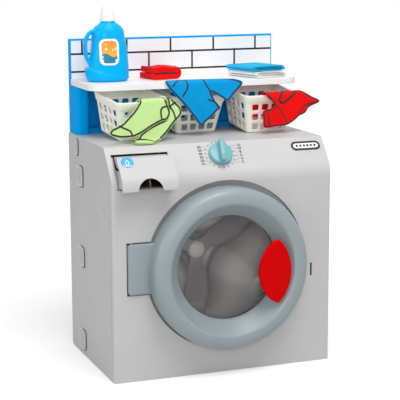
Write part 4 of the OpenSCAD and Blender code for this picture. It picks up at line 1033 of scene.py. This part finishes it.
class LAUNDRY_OT_controls(bpy.types.Operator):
    """Knob, drawer front, and the marks printed on the fascia."""

    bl_idname = "laundry.controls"
    bl_label = "Controls"

    knob_at = (2.0, 44.0)

    def execute(self, context):
        settle("drawer", "drawer_grey", softened("drawer_tray", "soap_drawer", finish("drawer"), 0.8))
        self.drawer_lip()
        self.knob()
        self.dial()
        self.badge()
        self.roundel()
        return {"FINISHED"}

    def drawer_lip(self):
        """The hood behind the front plate: a stepped ledge along its top edge, and a cheek at each side."""
        x, w = DRAWER_X, 49.0
        low, high = on_fascia(x, 55.4, -3.4, DRAWER_OUT), on_fascia(x, 55.4, -3.4)
        y0, y1, z = low.y / MM, high.y / MM, low.z / MM
        profile = [(y0, z), (y0 + 12, z + 0.4), (y1 - 6.5, z + 0.4), (y1 - 5.5, z - 1.2), (y1 - 0.5, z - 1.2),
                   (y1, z - 1.8), (y1, z - 3.4), (y1 - 7, z - 3.4), (y1 - 8.5, z - 2.0), (y0, z - 2.2)]
        parts = [lofted([[at(x + s * (w - pull), y, zz) for y, zz in profile]
                         for s, pull in ((-1, 0.5), (-1, 0.0), (1, 0.0), (1, 0.5))], capped=True)]
        foot = 17.5
        back = foot / tan(FASCIA_TURN)
        cheek = [(y0 - back, z - foot), (y1 - back - 9, z - foot), (y1 - back - 8, z - foot + 1), (y1 - 6, z - 1),
                 (y1 - 7, z), (y0, z)]
        for side in (-1, 1):
            parts.append(lofted([[at(x + side * (w + out), y, zz) for y, zz in cheek] for out in (-0.9, 1.1)],
                                capped=True))
        settle("drawer", "drawer_grey", piece("drawer_lip", *together(*parts), finish("pad"), 40, bevel=0.25))

    def knob(self):
        r, h = 23.0, 9.5
        skirt = [(0, 0.6), (r - 1.2, 0.6), (r, 1.6), (r, h - 3.2), (r - 0.5, h - 1.6), (r - 1.8, h - 0.5),
                 (r - 4, h), (0, h + 0.3)]
        rings = [[Vector((a * c, a * s, b)) * MM for a, b in skirt] for c, s in round_points(72)]
        skirt_part = lofted(rings, ring_closed=False, loft_closed=True)
        # grip: a bar across the skirt with flat sides and a flat top, lower toward its rear end
        section = [(1.0, 0.0), (0.94, 0.4), (0.84, 0.86), (0.80, 0.94), (0.72, 0.99), (0.62, 1.0)]
        section += [(-a, b) for a, b in reversed(section)]
        rings = []
        for k in range(33):
            t = -1 + 2 * k / 32
            y = (r - 0.4) * sin(t * pi / 2)
            top = 24.0 - 3.0 * max(0.0, abs(y) / r - 0.55) ** 1.5 * 3.2 - 1.2 * smoothstep(-y / r)
            half = 6.6 * (1 - max(0.0, abs(y) / r - 0.72) ** 2 * 5.5)
            rings.append([Vector((half * a, y, h - 1.5 + (top - h + 1.5) * b)) * MM for a, b in section])
        grip = lofted(rings, capped=True)
        verts, faces = stage_on_fascia(together(skirt_part, grip), *self.knob_at, radians(-6))
        settle("dial", "knob_blue", piece("programme_knob", verts, faces, finish("knob"), 42), node="knob")

    def dial(self):
        s = sizes()
        x0, u0 = self.knob_at
        dots = grown(ring_repeat(), *disc(1.25 * MM, 0.12 * MM), {
            "Count": s.dial_dots, "Radius": s.dial_radius * MM, "Start": radians(112)}, finish("black ink"))
        parts = [stage_on_fascia(dots, x0, u0, 0, 0.05)]
        lines = []
        columns = ((-38.0, (60, 50, 40, 30, 20, 10)), (42.0, (12, 10, 8, 6, 4, 2)))
        for cx, numbers in columns:
            for k, number in enumerate(numbers):
                u = 18.5 - 7.4 * k
                near = -1 if cx < 0 else 1
                angle = atan2(u * 0.9, near * 20.0)
                dot = Vector((30.2 * cos(angle), 30.2 * sin(angle)))
                end = Vector((cx - near * 4.6, u))
                bend = Vector((end.x - near * 3.2, u))
                lines.append(([end, bend] + ([dot] if abs(dot.x) < abs(bend.x) - 0.3 else []), False))
                parts.append(self.number(str(number), x0 + cx, u0 + u))
        parts.append(strokes(lines, 0.45, lambda a, b, up: on_fascia(x0 + a, u0 + b, up), 0.12))
        marks = piece("dial_marks", *together(*parts), finish("black ink"), merge=1e-7)
        settle("cabinet", "dark_plastic", marks)

    def number(self, text, x, u):
        """A number drawn flat on the fascia, its middle at x, u."""
        data = bpy.data.curves.new("number", "FONT")
        data.body = text
        data.size = 7.6 * MM
        data.offset = 0.22 * MM
        data.align_x = data.align_y = "CENTER"
        data.resolution_u = 2
        verts, faces = read_back(bpy.data.objects.new("number", data))
        return [on_fascia(x + v.x / MM, u + v.y / MM, 0.12) for v in verts], faces

    def plate(self, name, x, u, w, h, r, out, ink, body, slot, shift=0.0):
        """A thin rounded plate printed or set on the fascia."""
        outline = rounded_outline(w, h, r, 10)
        rings = []
        for grow, up in ((0, 0.0), (0, out * 0.6), (-out * 0.4, out)):
            rings.append([on_fascia(x + p.x * (1 + 2 * grow / w), u + p.y * (1 + 2 * grow / h), up, shift)
                          for p in outline])
        settle(body, slot, piece(name, *lofted(rings, capped=True), finish(ink)))

    def badge(self):
        x, u = 181.0, 52.5
        for name, w, h, out, ink in (("badge_rim", 61.0, 20.0, 0.7, "black ink"),
                                     ("badge_field", 52.5, 11.5, 0.95, "white ink")):
            self.plate(name, x, u, w, h, h / 2 - 0.1, out, ink, "cabinet", "pad_grey")
        # a plain row of dots in place of lettering
        dots = []
        for k in range(6):
            verts, faces = disc(2.5 * MM, 0.1 * MM)
            dots.append(stage_on_fascia(([p + Vector(((-18.5 + 7.4 * k) * MM, 0, 0)) for p in verts], faces), x, u,
                                        0, 0.98))
        settle("cabinet", "dark_plastic", piece("badge_dots", *together(*dots), finish("black ink")))

    def roundel(self):
        x, u, r = -190.8, 45.0, 12.0
        self.plate("drawer_roundel", x, u, 2 * r, 2 * r * 0.92, r * 0.9, 0.12, "blue ink", "drawer", "drawer_grey",
                   DRAWER_OUT)
        drop = []
        for c, s in round_points(24):
            pinch = (0.5 + 0.5 * s) ** 2
            drop.append(Vector((3.6 * c * (1 - 0.75 * pinch), 4.4 * s + 1.6 * pinch - 0.6)))
        wave = [Vector((-8.2 + 0.7 * k, -7.0 + 0.7 * sin(k * 0.9))) for k in range(24)]
        lines = [(drop, True), (wave, False)]
        mark = strokes(lines, 1.3, lambda a, b, up: on_fascia(x + a, u + b, up, DRAWER_OUT), 0.2)
        settle("drawer", "drawer_grey", piece("drawer_droplet", *mark, finish("white ink")))


class LAUNDRY_OT_hutch(bpy.types.Operator):
    """Hutch frame and shelf with softened edges."""

    bl_idname = "laundry.hutch"
    bl_label = "Hutch"

    def execute(self, context):
        for node, name, ink, width, slot in (("hutch_frame", "hutch_moulding", "hutch", 1.0, "hutch_blue"),
                                             ("shelf", "shelf_board", "shelf", 1.6, "shelf_white")):
            settle("cabinet", slot, softened(node, name, finish(ink), width))
        return {"FINISHED"}


class LAUNDRY_OT_baskets(bpy.types.Operator):
    """Three perforated baskets."""

    bl_idname = "laundry.baskets"
    bl_label = "Baskets"

    # width, depth and corner radius
    foot = (86.0, 88.0, 7.5)
    mouth = (113.0, 105.0, 10.0)
    height = 77.0
    low, high = 2.5, 62.0           # the holed band
    corner = 6                      # steps round a corner
    cell = 4                        # steps along one side of a hole's cell
    # each wall's turn, and which of width and depth lies along it and which across
    walls = ((0, 0, 1), (90, 1, 0), (180, 0, 1), (270, 1, 0))
    # x, y, turn and lean
    places = {"left": (-124.0, -26.0, 9.0, 8.0), "middle": (12.0, 34.0, 5.0, 8.88), "right": (146.0, -6.0, 5.0, 8.0)}

    def execute(self, context):
        (wall_points, wall_faces), (rim_points, rim_faces) = self.shape()
        for name, (x, y, turn, lean) in self.places.items():
            move = (Matrix.Translation(at(x, y, TOP_Z)) @ Matrix.Rotation(radians(turn), 4, "Z")
                    @ Matrix.Rotation(radians(lean), 4, "X") @ Matrix.Translation(at(0, 44, 0)))
            walls = piece(f"basket_walls_{name}", [move @ p for p in wall_points], wall_faces, finish("basket"), 50,
                          merge=2e-5)
            modify(walls, "wall", "SOLIDIFY", thickness=2.2 * MM, offset=-1.0, use_even_offset=True)
            modify(walls, "soft edges", "BEVEL", width=0.45 * MM, segments=1, limit_method="ANGLE",
                   angle_limit=radians(50))
            rim = piece(f"basket_rim_{name}", [move @ p for p in rim_points], rim_faces, finish("basket"), 50)
            settle(f"{name}_basket", "basket_cream", walls, rim, node=f"basket_{name}")
        return {"FINISHED"}

    def columns(self):
        return sizes().hole_columns, sizes().hole_side_columns

    def size_at(self, z):
        t = z / self.height
        return [a + (b - a) * t for a, b in zip(self.foot, self.mouth)]

    def ring(self, z, size=None):
        """Points round the basket at a height, with as many along each side as the holed walls have."""
        size = size or self.size_at(z)
        r = size[2]
        points = []
        for turn, along, across in self.walls:
            half, reach, count = size[along] / 2 - r, size[across] / 2, self.columns()[along] * self.cell
            row = [(-half + 2 * half * k / count, -reach) for k in range(count)]
            row += [(half + r * sin(a), -reach + r - r * cos(a))
                    for a in (radians(90 * k / self.corner) for k in range(self.corner))]
            points += [Vector((*rotated(x, y, radians(turn)), z)) * MM for x, y in row]
        return points

    def tile(self):
        """One cell of a wall: a square with a round-cornered hole, 16 faces."""
        n, half_wide, half_high, power = self.cell, 0.345, 0.325, 7.0
        edge = []
        for k in range(4 * n):
            side, t = divmod(k, n)
            a = -0.5 + t / n
            edge.append({0: (a, -0.5), 1: (0.5, a), 2: (-a, 0.5), 3: (-0.5, -a)}[side])
        verts = [Vector((x, y, 0)) for x, y in edge]
        for x, y in edge:
            k = 1 / (abs(x) ** power + abs(y) ** power) ** (1 / power)
            verts.append(Vector((x * k * half_wide, y * k * half_high, 0)))
        m = 4 * n
        return verts, [(k, (k + 1) % m, m + (k + 1) % m, m + k) for k in range(m)]

    def shape(self):
        """The walls and the rim of an upright basket at the origin."""
        rows, tree = sizes().hole_rows, wall_repeat()
        walls = []
        for turn, along, across in self.walls:
            width = self.foot[along] - 2 * self.foot[2]
            wider = (self.mouth[along] - 2 * self.mouth[2] - width) / self.height
            lean = (self.mouth[across] - self.foot[across]) / 2 / self.height
            walls.append(grown(tree, *self.tile(), {
                "Columns": self.columns()[along], "Rows": rows, "Low": self.low * MM, "High": self.high * MM,
                "Width": width * MM, "Widening": wider, "Reach": self.foot[across] / 2 * MM, "Leaning": lean,
                "Turn": radians(turn)}, finish("basket")))
        # corners, on the same levels as the holed walls
        levels = rows * self.cell
        rings = [self.ring(self.low + (self.high - self.low) * k / levels) for k in range(levels + 1)]
        verts, faces = lofted(rings)
        n = len(rings[0])
        keep, start = set(), 0
        for _, along, _ in self.walls:
            start += self.columns()[along] * self.cell
            keep |= set(range(start, start + self.corner))
            start += self.corner
        walls.append((verts, [f for f in faces if f[0] % n in keep]))
        # foot and the plain bands under and over the holes
        w, d, r = self.size_at(0)
        foot = [self.ring(0, (w - 6, d - 6, r - 3)), self.ring(0, (w - 2, d - 2, r - 1)),
                self.ring(0.9, (w - 0.2, d - 0.2, r)), self.ring(self.low)]
        walls.append(lofted(foot))
        walls.append(lofted([self.ring(self.high), self.ring(69), self.ring(75.5)]))
        floor = [self.ring(0, ((w - 6) * k, (d - 6) * k, (r - 3) * k)) for k in (1.0, 0.75, 0.5, 0.25, 0.02)]
        walls.append(lofted(floor))
        # rim: a thick rounded band round the mouth
        profile = ((-0.2, 62.0), (1.4, 62.0), (1.8, 62.6), (2.4, 74.0), (2.2, 76.0), (1.4, 77.0), (-0.6, 77.0),
                   (-1.8, 76.2), (-2.2, 74.6), (-2.4, 62.0))
        rim = []
        for out, z in profile:
            w, d, r = self.size_at(z)
            rim.append(self.ring(z, (w + 2 * out, d + 2 * out, max(6.0, r + out))))
        return together(*walls), lofted(rim, loft_closed=True)


class LAUNDRY_OT_bottle(bpy.types.Operator):
    """Soap bottle with its grip, ribbed cap and label."""

    bl_idname = "laundry.bottle"
    bl_label = "Bottle"

    place = (-160.0, 62.0, SHELF_Z)
    # height, middle, half width, half depth of the body and of the foot that stands out round it
    rows = ((0.0, 0.0, 38.0, 24.0), (12.0, 0.5, 40.6, 26.4), (31.0, 1.5, 39.2, 26.8), (48.0, 2.0, 37.2, 26.6),
            (65.0, 2.7, 35.2, 26.2), (74.0, 2.2, 33.6, 25.4), (82.0, 1.3, 32.4, 24.8), (90.0, 1.0, 32.0, 24.2),
            (96.0, 1.2, 31.0, 23.2), (101.0, 1.4, 28.6, 21.6), (105.0, 1.4, 25.4, 19.6), (108.5, 1.8, 21.2, 17.6),
            (111.5, 1.6, 16.8, 15.4), (113.4, 1.0, 14.0, 14.0), (115.0, 1.0, 13.1, 13.1), (119.0, 1.0, 12.8, 12.8))
    foot = ((0.0, -0.4, 33.5, 20.0), (1.0, -0.5, 37.0, 23.0), (3.0, -0.7, 40.0, 25.4), (6.0, -0.8, 42.0, 27.0),
            (11.0, -1.0, 43.6, 27.9), (18.0, -1.0, 44.0, 28.0), (40.0, -1.0, 44.0, 28.0))

    def look_up(self, rows, z):
        for low, high in zip(rows, rows[1:]):
            if z <= high[0]:
                t = (z - low[0]) / (high[0] - low[0])
                return [a + (b - a) * t for a, b in zip(low[1:], high[1:])]
        return rows[-1][1:]

    def body_at(self, z):
        return self.look_up(self.rows, z)

    def skin(self, ca, sa, z):
        """A place on the bottle: the body, or the foot where it stands out below its sloping edge."""
        power = 2 / (2.25 if z < 108 else 2.0)
        edge = 17.0 - 9.5 * ca + 2.5 * ca * ca + 2.0 * sa - 1.0
        out = 1 - smoothstep((z - edge + 3.0) / 5.0)
        body, foot = self.body_at(z), self.look_up(self.foot, z)
        out = max(out, 0.0) if z > 8 else 1.0
        c, a, b = (p + (q - p) * out for p, q in zip(body, foot))
        return self.world(c + a * copysign(abs(ca) ** power, ca), b * copysign(abs(sa) ** power, sa), z)

    def world(self, x, y, z):
        return at(self.place[0] + x, self.place[1] + y, self.place[2] + z)

    def execute(self, context):
        heights = [0.0, 0.5, 1.0, 2.0, 3.0, 4.5, 6.0, 8.0] + [9.0 + 1.25 * k for k in range(19)]
        heights += [34.0 + 3.0 * k for k in range(22)] + [99.0 + 1.5 * k for k in range(10)] + [113.6, 115.0, 119.0]
        rings = [[self.skin(c, s, z) for c, s in round_points(80)] for z in heights]
        body = lofted(rings, capped=True)
        loop = spline([self.world(*p) for p in ((-15, 0, 97), (-25, 0, 97.5), (-34, 0, 94.5), (-40.6, 0, 87),
                                                (-44.2, 0, 76), (-44.6, 0, 62), (-43.0, 0, 50), (-39.0, 0, 40),
                                                (-32, 0, 31), (-26, 0, 26))], 4 * MM)
        grip = tube(loop, 4.0 * MM, 18, 1.5)
        bottle = piece("soap_bottle", *together(body, grip), finish("bottle"), 60, subdivide=1)
        settle("cabinet", "bottle_blue", bottle, node="bottle_body")
        settle("cabinet", "cap_white", self.cap(), node="bottle_cap")
        settle("cabinet", "label_paper", self.label(), node="bottle_label")
        return {"FINISHED"}

    def cap(self):
        z0 = 115.3
        profile = [(0, 4.5), (13.3, 4.5), (13.3, 0.0), (14.6, 0.0), (15.2, 0.6), (14.8, 4.0), (14.2, 7.0), (13.7, 8.0),
                   (13.3, 8.6), (12.2, 16.0), (11.0, 25.4), (10.4, 27.4), (9.4, 28.2), (0, 28.2)]
        rings = [[self.world(1 + r * c, r * s, z0 + z) for r, z in profile] for c, s in round_points(64)]
        shell = lofted(rings, ring_closed=False, loft_closed=True)
        # one rib, drawn at the cap's foot and leaning in with its side; it runs out at both ends
        rib = []
        for z, push in ((8.4, 0.0), (9.4, 0.75), (24.6, 0.75), (26.0, 0.0)):
            lean = -(z - 8.4) * 0.135
            corners = ((-0.8, -0.8), (push, -0.45), (push, 0.45), (-0.8, 0.8))
            rib.append([Vector((x + lean, y, z)) * MM for x, y in corners])
        ribs = grown(ring_repeat(), *lofted(rib, capped=True), {"Count": sizes().cap_ribs, "Radius": 13.4 * MM},
                     finish("cap"))
        ribs = [p + self.world(1, 0, z0) for p in ribs[0]], ribs[1]
        return piece("bottle_screw_cap", *together(shell, ribs), finish("cap"), 40)

    def label(self):
        w, h, middle = 37.0, 50.0, 57.5
        outline = spline(rounded_outline(w, h, 11), 2.5, closed=True)
        net, faces = filled(outline, 2.6)
        verts = []
        for lift in (0.45, 0.1):
            for p in net:
                x, z = -4 + p.x, middle + p.y
                c, a, b = self.body_at(z)
                t = max(-0.999, min(0.999, (x - c) / a))
                depth = b * (1 - abs(t) ** 2.25) ** (1 / 2.25)
                verts.append(self.world(x + lift * t, -depth - lift, z))
        skin = two_sided(faces, len(net), len(outline))
        return piece("bottle_paper_label", verts, skin, self.label_finish(middle), 60)

    def label_finish(self, middle):
        """White border, a warm field with a teal wave and round bubbles."""
        m, where = new_finish("label print")
        x, _, z = m.split(where)
        u = x - (self.place[0] - 4) * MM
        v = z - (self.place[2] + middle) * MM
        ax = u.one("ABSOLUTE") - 0.0150 + 0.009
        az = v.one("ABSOLUTE") - 0.0215 + 0.009
        px, pz = ax.highest(0.0), az.highest(0.0)
        far = (px * px + pz * pz).one("SQRT") + ax.highest(az).lowest(0.0)
        inside = 1.0 - far.ramp(0.0086, 0.0092)
        wave = v + (u * 190.0).one("SINE") * 0.0035 + 0.006
        teal = 1.0 - wave.ramp(-0.0006, 0.0006)
        field = m.between((v * 22.0 + 0.45).one("FRACT"), colour(252, 196, 60), colour(246, 138, 44))
        field = m.between(teal, field, colour(18, 130, 158))
        bubbles = m.node("ShaderNodeTexVoronoi", put={"Vector": where, "Scale": 105.0, "Randomness": 0.8})
        field = m.between((1.0 - bubbles.ramp(0.26, 0.32)) * 0.85, field, colour(250, 246, 236))
        paint = m.between(inside, colour(246, 247, 248), field)
        fibre = m.noise(where, 900.0, 2.0)
        return close_finish(m, paint, 0.34 + fibre * 0.1, m.bump(fibre, 0.08, 0.05))


CLOTH_THICK = 1.6       # millimetres


def draped(name, outline, path, origin, turn, finish_name, ink_name, lines, waves, line):
    """A cut of cloth laid along a path.
    outline: 2-D points, across and down from the edge that it hangs over. path: how far along it that edge lies,
    and its points (forward, up) from the origin. waves: height, length and phase. line: how wide the printed lines
    are. Returns the cloth, the lines printed on it and the cut's edge."""
    start, spine = path
    spine = spline(spine, 2.0)
    lengths = [0.0]
    for a, b in zip(spine, spine[1:]):
        lengths.append(lengths[-1] + (b - a).length)
    cos_t, sin_t = cos(radians(turn)), sin(radians(turn))
    ahead = Vector((sin_t, -cos_t, 0))
    across = Vector((cos_t, sin_t, 0))
    height, length, phase = waves

    def along(s):
        s = min(max(s + start, 0.0), lengths[-1] - 0.001)
        k = max(i for i, q in enumerate(lengths) if q <= s)
        k = min(k, len(spine) - 2)
        t = (s - lengths[k]) / (lengths[k + 1] - lengths[k])
        way = (spine[k + 1] - spine[k]).normalized()
        # near the ends of a span, the direction turns smoothly into the next one
        before = (spine[k] - spine[max(k - 1, 0)]).normalized() if k else way
        after = (spine[min(k + 2, len(spine) - 1)] - spine[k + 1]).normalized() if k + 2 < len(spine) else way
        way = ((before + way) * (1 - t) + (way + after) * t).normalized()
        return spine[k].lerp(spine[k + 1], t), left_of(way)

    def place(u, s, lift):
        spot, normal = along(s)
        if normal.x < 0 and normal.y < 0:
            normal = -normal
        swing = smoothstep((s - 6) / 40)
        wave = height * swing * (sin(2 * pi * (u + 0.35 * s) / length + phase)
                                 + 0.5 * sin(2 * pi * (u - 0.6 * s) / (length * 0.57) + 2.1 * phase + 1))
        wave = max(wave, -height)
        spot = spot + normal * (lift + wave + height * swing)
        return at(*origin) + (across * u + ahead * spot.x) * MM + Vector((0, 0, spot.y * MM))

    edge = spline(outline, 3.0, closed=True)
    net, faces = filled(edge, 4.5)
    verts = [place(p.x, p.y, CLOTH_THICK) for p in net] + [place(p.x, p.y, 0.0) for p in net]
    obj = piece(name, verts, two_sided(faces, len(net), len(edge)), finish(finish_name), 50, merge=1e-7)
    give_uv(obj, lambda v: net[v.index % len(net)] * MM)
    width = sizes().print_width * line
    drawn = [(inset(edge, width * 0.75), True)] + [(spline(points, 2.5), False) for points in lines]
    ink = piece(f"{name}_print", *strokes(drawn, width, place, CLOTH_THICK + 0.18), finish(ink_name), 80, merge=1e-7)
    return obj, ink, edge


def give_uv(obj, flat):
    """A map in metres, so that the weave lies in the cloth; flat gives each vertex its place on it."""
    layer = obj.data.uv_layers.new(name="UVMap")
    for loop in obj.data.loops:
        layer.data[loop.index].uv = flat(obj.data.vertices[loop.vertex_index])


def flat_size(edge):
    """Width and length of the smallest rectangle that the cut fits, and its own area, in metres."""
    best = None
    for k in range(45):
        c, t = cos(radians(2 * k)), sin(radians(2 * k))
        xs, ys = [p.x * c + p.y * t for p in edge], [p.y * c - p.x * t for p in edge]
        w, h = max(xs) - min(xs), max(ys) - min(ys)
        if best is None or w * h < best[0] * best[1]:
            best = (w, h)
    area = abs(sum(a.x * b.y - a.y * b.x for a, b in zip(edge, edge[1:] + edge[:1]))) / 2
    return (best[0] * MM, best[1] * MM), area * MM * MM


class LAUNDRY_OT_clothes(bpy.types.Operator):
    """Socks, shirt and shorts that hang over the basket rims and the shelf's edge."""

    bl_idname = "laundry.clothes"
    bl_label = "Clothes"

    def execute(self, context):
        self.socks()
        self.shirt()
        self.shorts()
        return {"FINISHED"}

    def hang(self, made, body, node, slot, rests_on):
        obj, ink, edge = made
        settle(body, slot, obj, node=node)
        settle(body, slot, ink)
        flat, area = flat_size(edge)

    def socks(self):
        origin, turn = (-124.0, -50.0, 0.0), 9.0
        path = (40.6, [(-30, 492), (-17, 507), (-10, 513.4), (-4, 514.6), (1.0, 512), (3.4, 500), (8.4, 470),
                       (13.2, 445), (17.2, 438.9), (24, 437.4), (44, 437.2), (52, 437.2)])
        back = [(56, -30), (57, -4), (65, 6), (73, 14), (76, 24), (73, 32), (66, 38), (54, 48), (42, 61), (30, 71),
                (17, 83), (2, 97), (-14, 104), (-30, 101), (-37, 90), (-35, 76), (-28, 70), (-21, 68), (-14, 60),
                (4, 50), (24, 42), (40, 36), (46, 24), (48, 8), (48, -30)]
        made = draped("sock_back", back, path, origin, turn, "socks", "green ink",
                      [[(-36, 76), (-20, 72), (-4, 74), (8, 80), (10, 90)],
                       [(65, 6), (53, 13), (58, 24), (62, 40)]], waves=(0.6, 60.0, 1.0), line=1.35)
        self.hang(made, "left_basket", "socks", "cloth_green", ["basket_rim_left", "top_panel"])
        front = [(-8, -30), (-11, -4), (-16, 6), (-26, 18), (-40, 30), (-51, 39), (-62, 44), (-75, 49), (-81, 55),
                 (-78, 61), (-70, 64), (-56, 67), (-37, 67), (-25, 65), (-10, 59), (6, 51), (20, 45), (31, 41),
                 (42, 39), (48, 32), (50, 24), (46, 9), (43, -2), (42, -30)]
        lifted = (path[0], [(x + 2.6, z + 0.8 if z > 500 else z) for x, z in path[1]])
        made = draped("sock_front", front, lifted, origin, turn, "socks", "green ink",
                      [[(-61, 44), (-46, 51), (-37, 56), (-34, 65)],
                       [(46, 13), (34, 16), (30, 24), (31, 40)]], waves=(0.6, 70.0, 0.2), line=1.35)
        self.hang(made, "left_basket", "socks", "cloth_green", ["basket_rim_left"])

    def shirt(self):
        origin, turn = (10.0, -11.5, 0.0), 0.0
        path = (36.0, [(-34, 542.9), (-18, 542.9), (-4, 543.0), (0.6, 541.0), (1.4, 536), (1.6, 515), (2.0, 480),
                       (2.2, 440)])
        outline = [(-78, -4), (-64, -16), (-38, -21), (-7, -18), (24, -12), (65, -3), (80, 5), (63, 24), (49, 38),
                   (34, 30), (17, 20), (13.5, 20), (22, 36), (32, 51), (26, 57), (17, 66), (3, 77), (-8, 84),
                   (-28, 59), (-49, 34), (-69, 13)]
        made = draped("shirt_cloth", outline, path, origin, turn, "shirt", "navy ink",
                      [[(-7, -16), (3, 4), (9, 13), (14, 20)], [(-65, 7), (-56, -2), (-40, -6), (-34, 8), (-45, 27)],
                       [(32, 51), (22, 40), (8, 34)]], waves=(1.0, 52.0, 0.6), line=1.15)
        self.hang(made, "cabinet", "shirt", "cloth_blue", ["shelf_board"])

    def shorts(self):
        origin, turn = (146.0, -34.0, 0.0), 5.0
        path = (88.0, [(-27, 447), (-27, 476), (-24, 500), (-15, 511), (-8, 515.8), (-2, 516.0), (2.2, 511),
                       (3.4, 500), (5.0, 470), (6.0, 440)])
        outline = [(-46, -62), (-44, -34), (-22, -24), (-16, -4), (-14, 4), (-4, 12), (2, 20), (-8, 26), (-24, 30),
                   (-25, 44), (-24, 61), (-20, 63), (3, 62), (27, 60), (42, 53), (55, 44), (69, 39), (79, 28),
                   (103, 17), (82, 5), (61, -8), (52, -24), (56, -60), (40, -66), (-20, -68)]
        made = draped("shorts_cloth", outline, path, origin, turn, "shorts", "maroon ink",
                      [[(-12, -3), (-2, 12), (10, 26), (22, 43), (29, 59)],
                       [(102, 17), (72, 23), (60, 31), (54, 43)], [(-14, 28), (-15, 44), (-11, 62)],
                       [(46, -14), (28, -11), (14, 2), (12, 13), (20, 17), (37, 8), (52, -4), (46, -14)],
                       [(45, -12), (29, -9), (16, 3), (14, 12), (21, 15), (36, 6), (50, -4), (45, -12)]],
                      waves=(1.2, 56.0, 1.4), line=1.1)
        self.hang(made, "right_basket", "shorts", "cloth_red", ["basket_rim_right"])


class LAUNDRY_OT_folded(bpy.types.Operator):
    """Three folded cloths on the shelf."""

    bl_idname = "laundry.folded"
    bl_label = "Folded cloths"

    def execute(self, context):
        self.stack("red", "shorts", "maroon ink", (-52, 74, 12), (64, 58, 25.5), 2, SHELF_Z, 1.6)
        self.stack("white", "white cloth", None, (149, 51, 17), (76, 96, 13), 3, SHELF_Z, 0.4)
        self.stack("blue", "blue cloth", "navy ink", (145, 51, 17), (82, 92, 9), 3, SHELF_Z + 13.3, 0.4)
        return {"FINISHED"}

    def stack(self, dye, finish_name, ink_name, place, size, layers, z0, loose):
        """A strip of cloth folded to and fro, seen as its rounded folds at the front and the sides."""
        name = f"{dye}_folded_cloth"
        x0, y0, turn = place
        w, d, h = size
        pitch = h / layers
        t = pitch * (0.72 if layers > 2 else 0.88)
        spine = []
        for k in range(layers):
            z = pitch * (k + 0.5)
            way = 1 if k % 2 == 0 else -1
            end = w / 2 - pitch / 2
            for j in range(9):
                f = -1 + 2 * j / 8
                spine.append(Vector((way * f * (end - 0.6 * (k % 3)), z + 0.25 * loose * sin(3 * f + k))))
            if k < layers - 1:
                for j in range(1, 5):
                    a = pi * (j / 5 - 0.5)
                    spine.append(Vector((way * (end + pitch * 0.5 * cos(a)),
                                         z + pitch * 0.5 + pitch * 0.5 * sin(a))))
        strip = [(p, left_of(way)) for p, way in zip(spine, ways(spine))]

        def spot(q, y, up=0.0):
            x, z = q.x, min(max(q.y, 0.05), h - 0.05) + up
            z -= 1.3 * max(0.0, loose - 0.5) * (z / h) ** 2 * (1 + sin(0.13 * x + 0.06 * y + 1.0))
            x, y = rotated(x, y, radians(turn))
            return at(x0 + x, y0 + y, z0 + z)

        rings = []
        cuts = 16
        for k in range(cuts + 1):
            f = -1 + 2 * k / cuts
            ring = []
            for sign, points in ((1, strip), (-1, strip[::-1])):
                for middle, side in points:
                    p = middle + side * sign * t / 2
                    layer = middle.y / pitch
                    pull = 1.4 * loose * sin(layer * 2.4 + 1) - 1.2
                    corner = 1 - 0.05 * max(0.0, abs(p.x) / (w / 2) - 0.75) / 0.25
                    y = f * (d / 2 + pull) * corner
                    swell = 1 - 0.012 * (1 - f * f) * loose
                    ring.append(spot(Vector((p.x * swell, p.y)), y + 0.3 * sin(p.x * 0.2 + layer)))
            rings.append(ring)
        obj = piece(name, *lofted(rings, capped=True), finish(finish_name), 60)
        give_uv(obj, lambda v: (v.co.x + v.co.z * 0.5, v.co.y + v.co.z))
        ink = []
        if ink_name:
            lines = [(inset(rounded_outline(w - 6, d - 7, 6, 4), 1.5), True)]
            lines = strokes(lines, 1.8, lambda a, b, up: spot(Vector((a, h)), b, up), 0.2)
            ink.append(piece(f"{name}_print", *lines, finish(ink_name), 80))
            if layers == 2:
                hem = [spot(p + side * t * 0.47, -d / 2 - 0.7) for p, side in strip]
                ink.append(piece(f"{name}_hem", *tube(hem[::2], 0.8 * MM, 8), finish(ink_name), 80))
        settle("cabinet", f"cloth_{dye}", *ink)
        settle("cabinet", f"cloth_{dye}", obj, node=f"folded_{dye}_cloth")


class LAUNDRY_PT_pieces(bpy.types.Panel):
    """Lists the pieces, their sizes and their colours."""

    bl_idname = "LAUNDRY_PT_pieces"
    bl_label = "Toy washing machine"
    bl_space_type = "VIEW_3D"
    bl_region_type = "UI"
    bl_category = "Laundry"

    def draw(self, context):
        layout = self.layout
        for operator in OPERATORS:
            layout.operator(operator.bl_idname)
        for group, kind in ((sizes(), LaundrySizes), (colours(), LaundryColours)):
            box = layout.box()
            for key in kind.__annotations__:
                box.prop(group, key)


OPERATORS = (LAUNDRY_OT_stage, LAUNDRY_OT_finishes, LAUNDRY_OT_door, LAUNDRY_OT_drum, LAUNDRY_OT_controls,
             LAUNDRY_OT_hutch, LAUNDRY_OT_baskets, LAUNDRY_OT_bottle, LAUNDRY_OT_clothes, LAUNDRY_OT_folded)
CLASSES = (LaundryColours, LaundrySizes) + OPERATORS + (LAUNDRY_PT_pieces,)


def register():
    for kind in CLASSES:
        bpy.utils.register_class(kind)
    bpy.types.Scene.laundry_colours = PointerProperty(type=LaundryColours)
    bpy.types.Scene.laundry_sizes = PointerProperty(type=LaundrySizes)


def unregister():
    del bpy.types.Scene.laundry_sizes
    del bpy.types.Scene.laundry_colours
    for kind in reversed(CLASSES):
        bpy.utils.unregister_class(kind)


def main():
    register()
    for operator in OPERATORS:
        group, name = operator.bl_idname.split(".")
        result = getattr(getattr(bpy.ops, group), name)()
        if "FINISHED" not in result:
            raise RuntimeError(f"{operator.bl_label} did not finish")


if __name__ == "__main__":
    main()
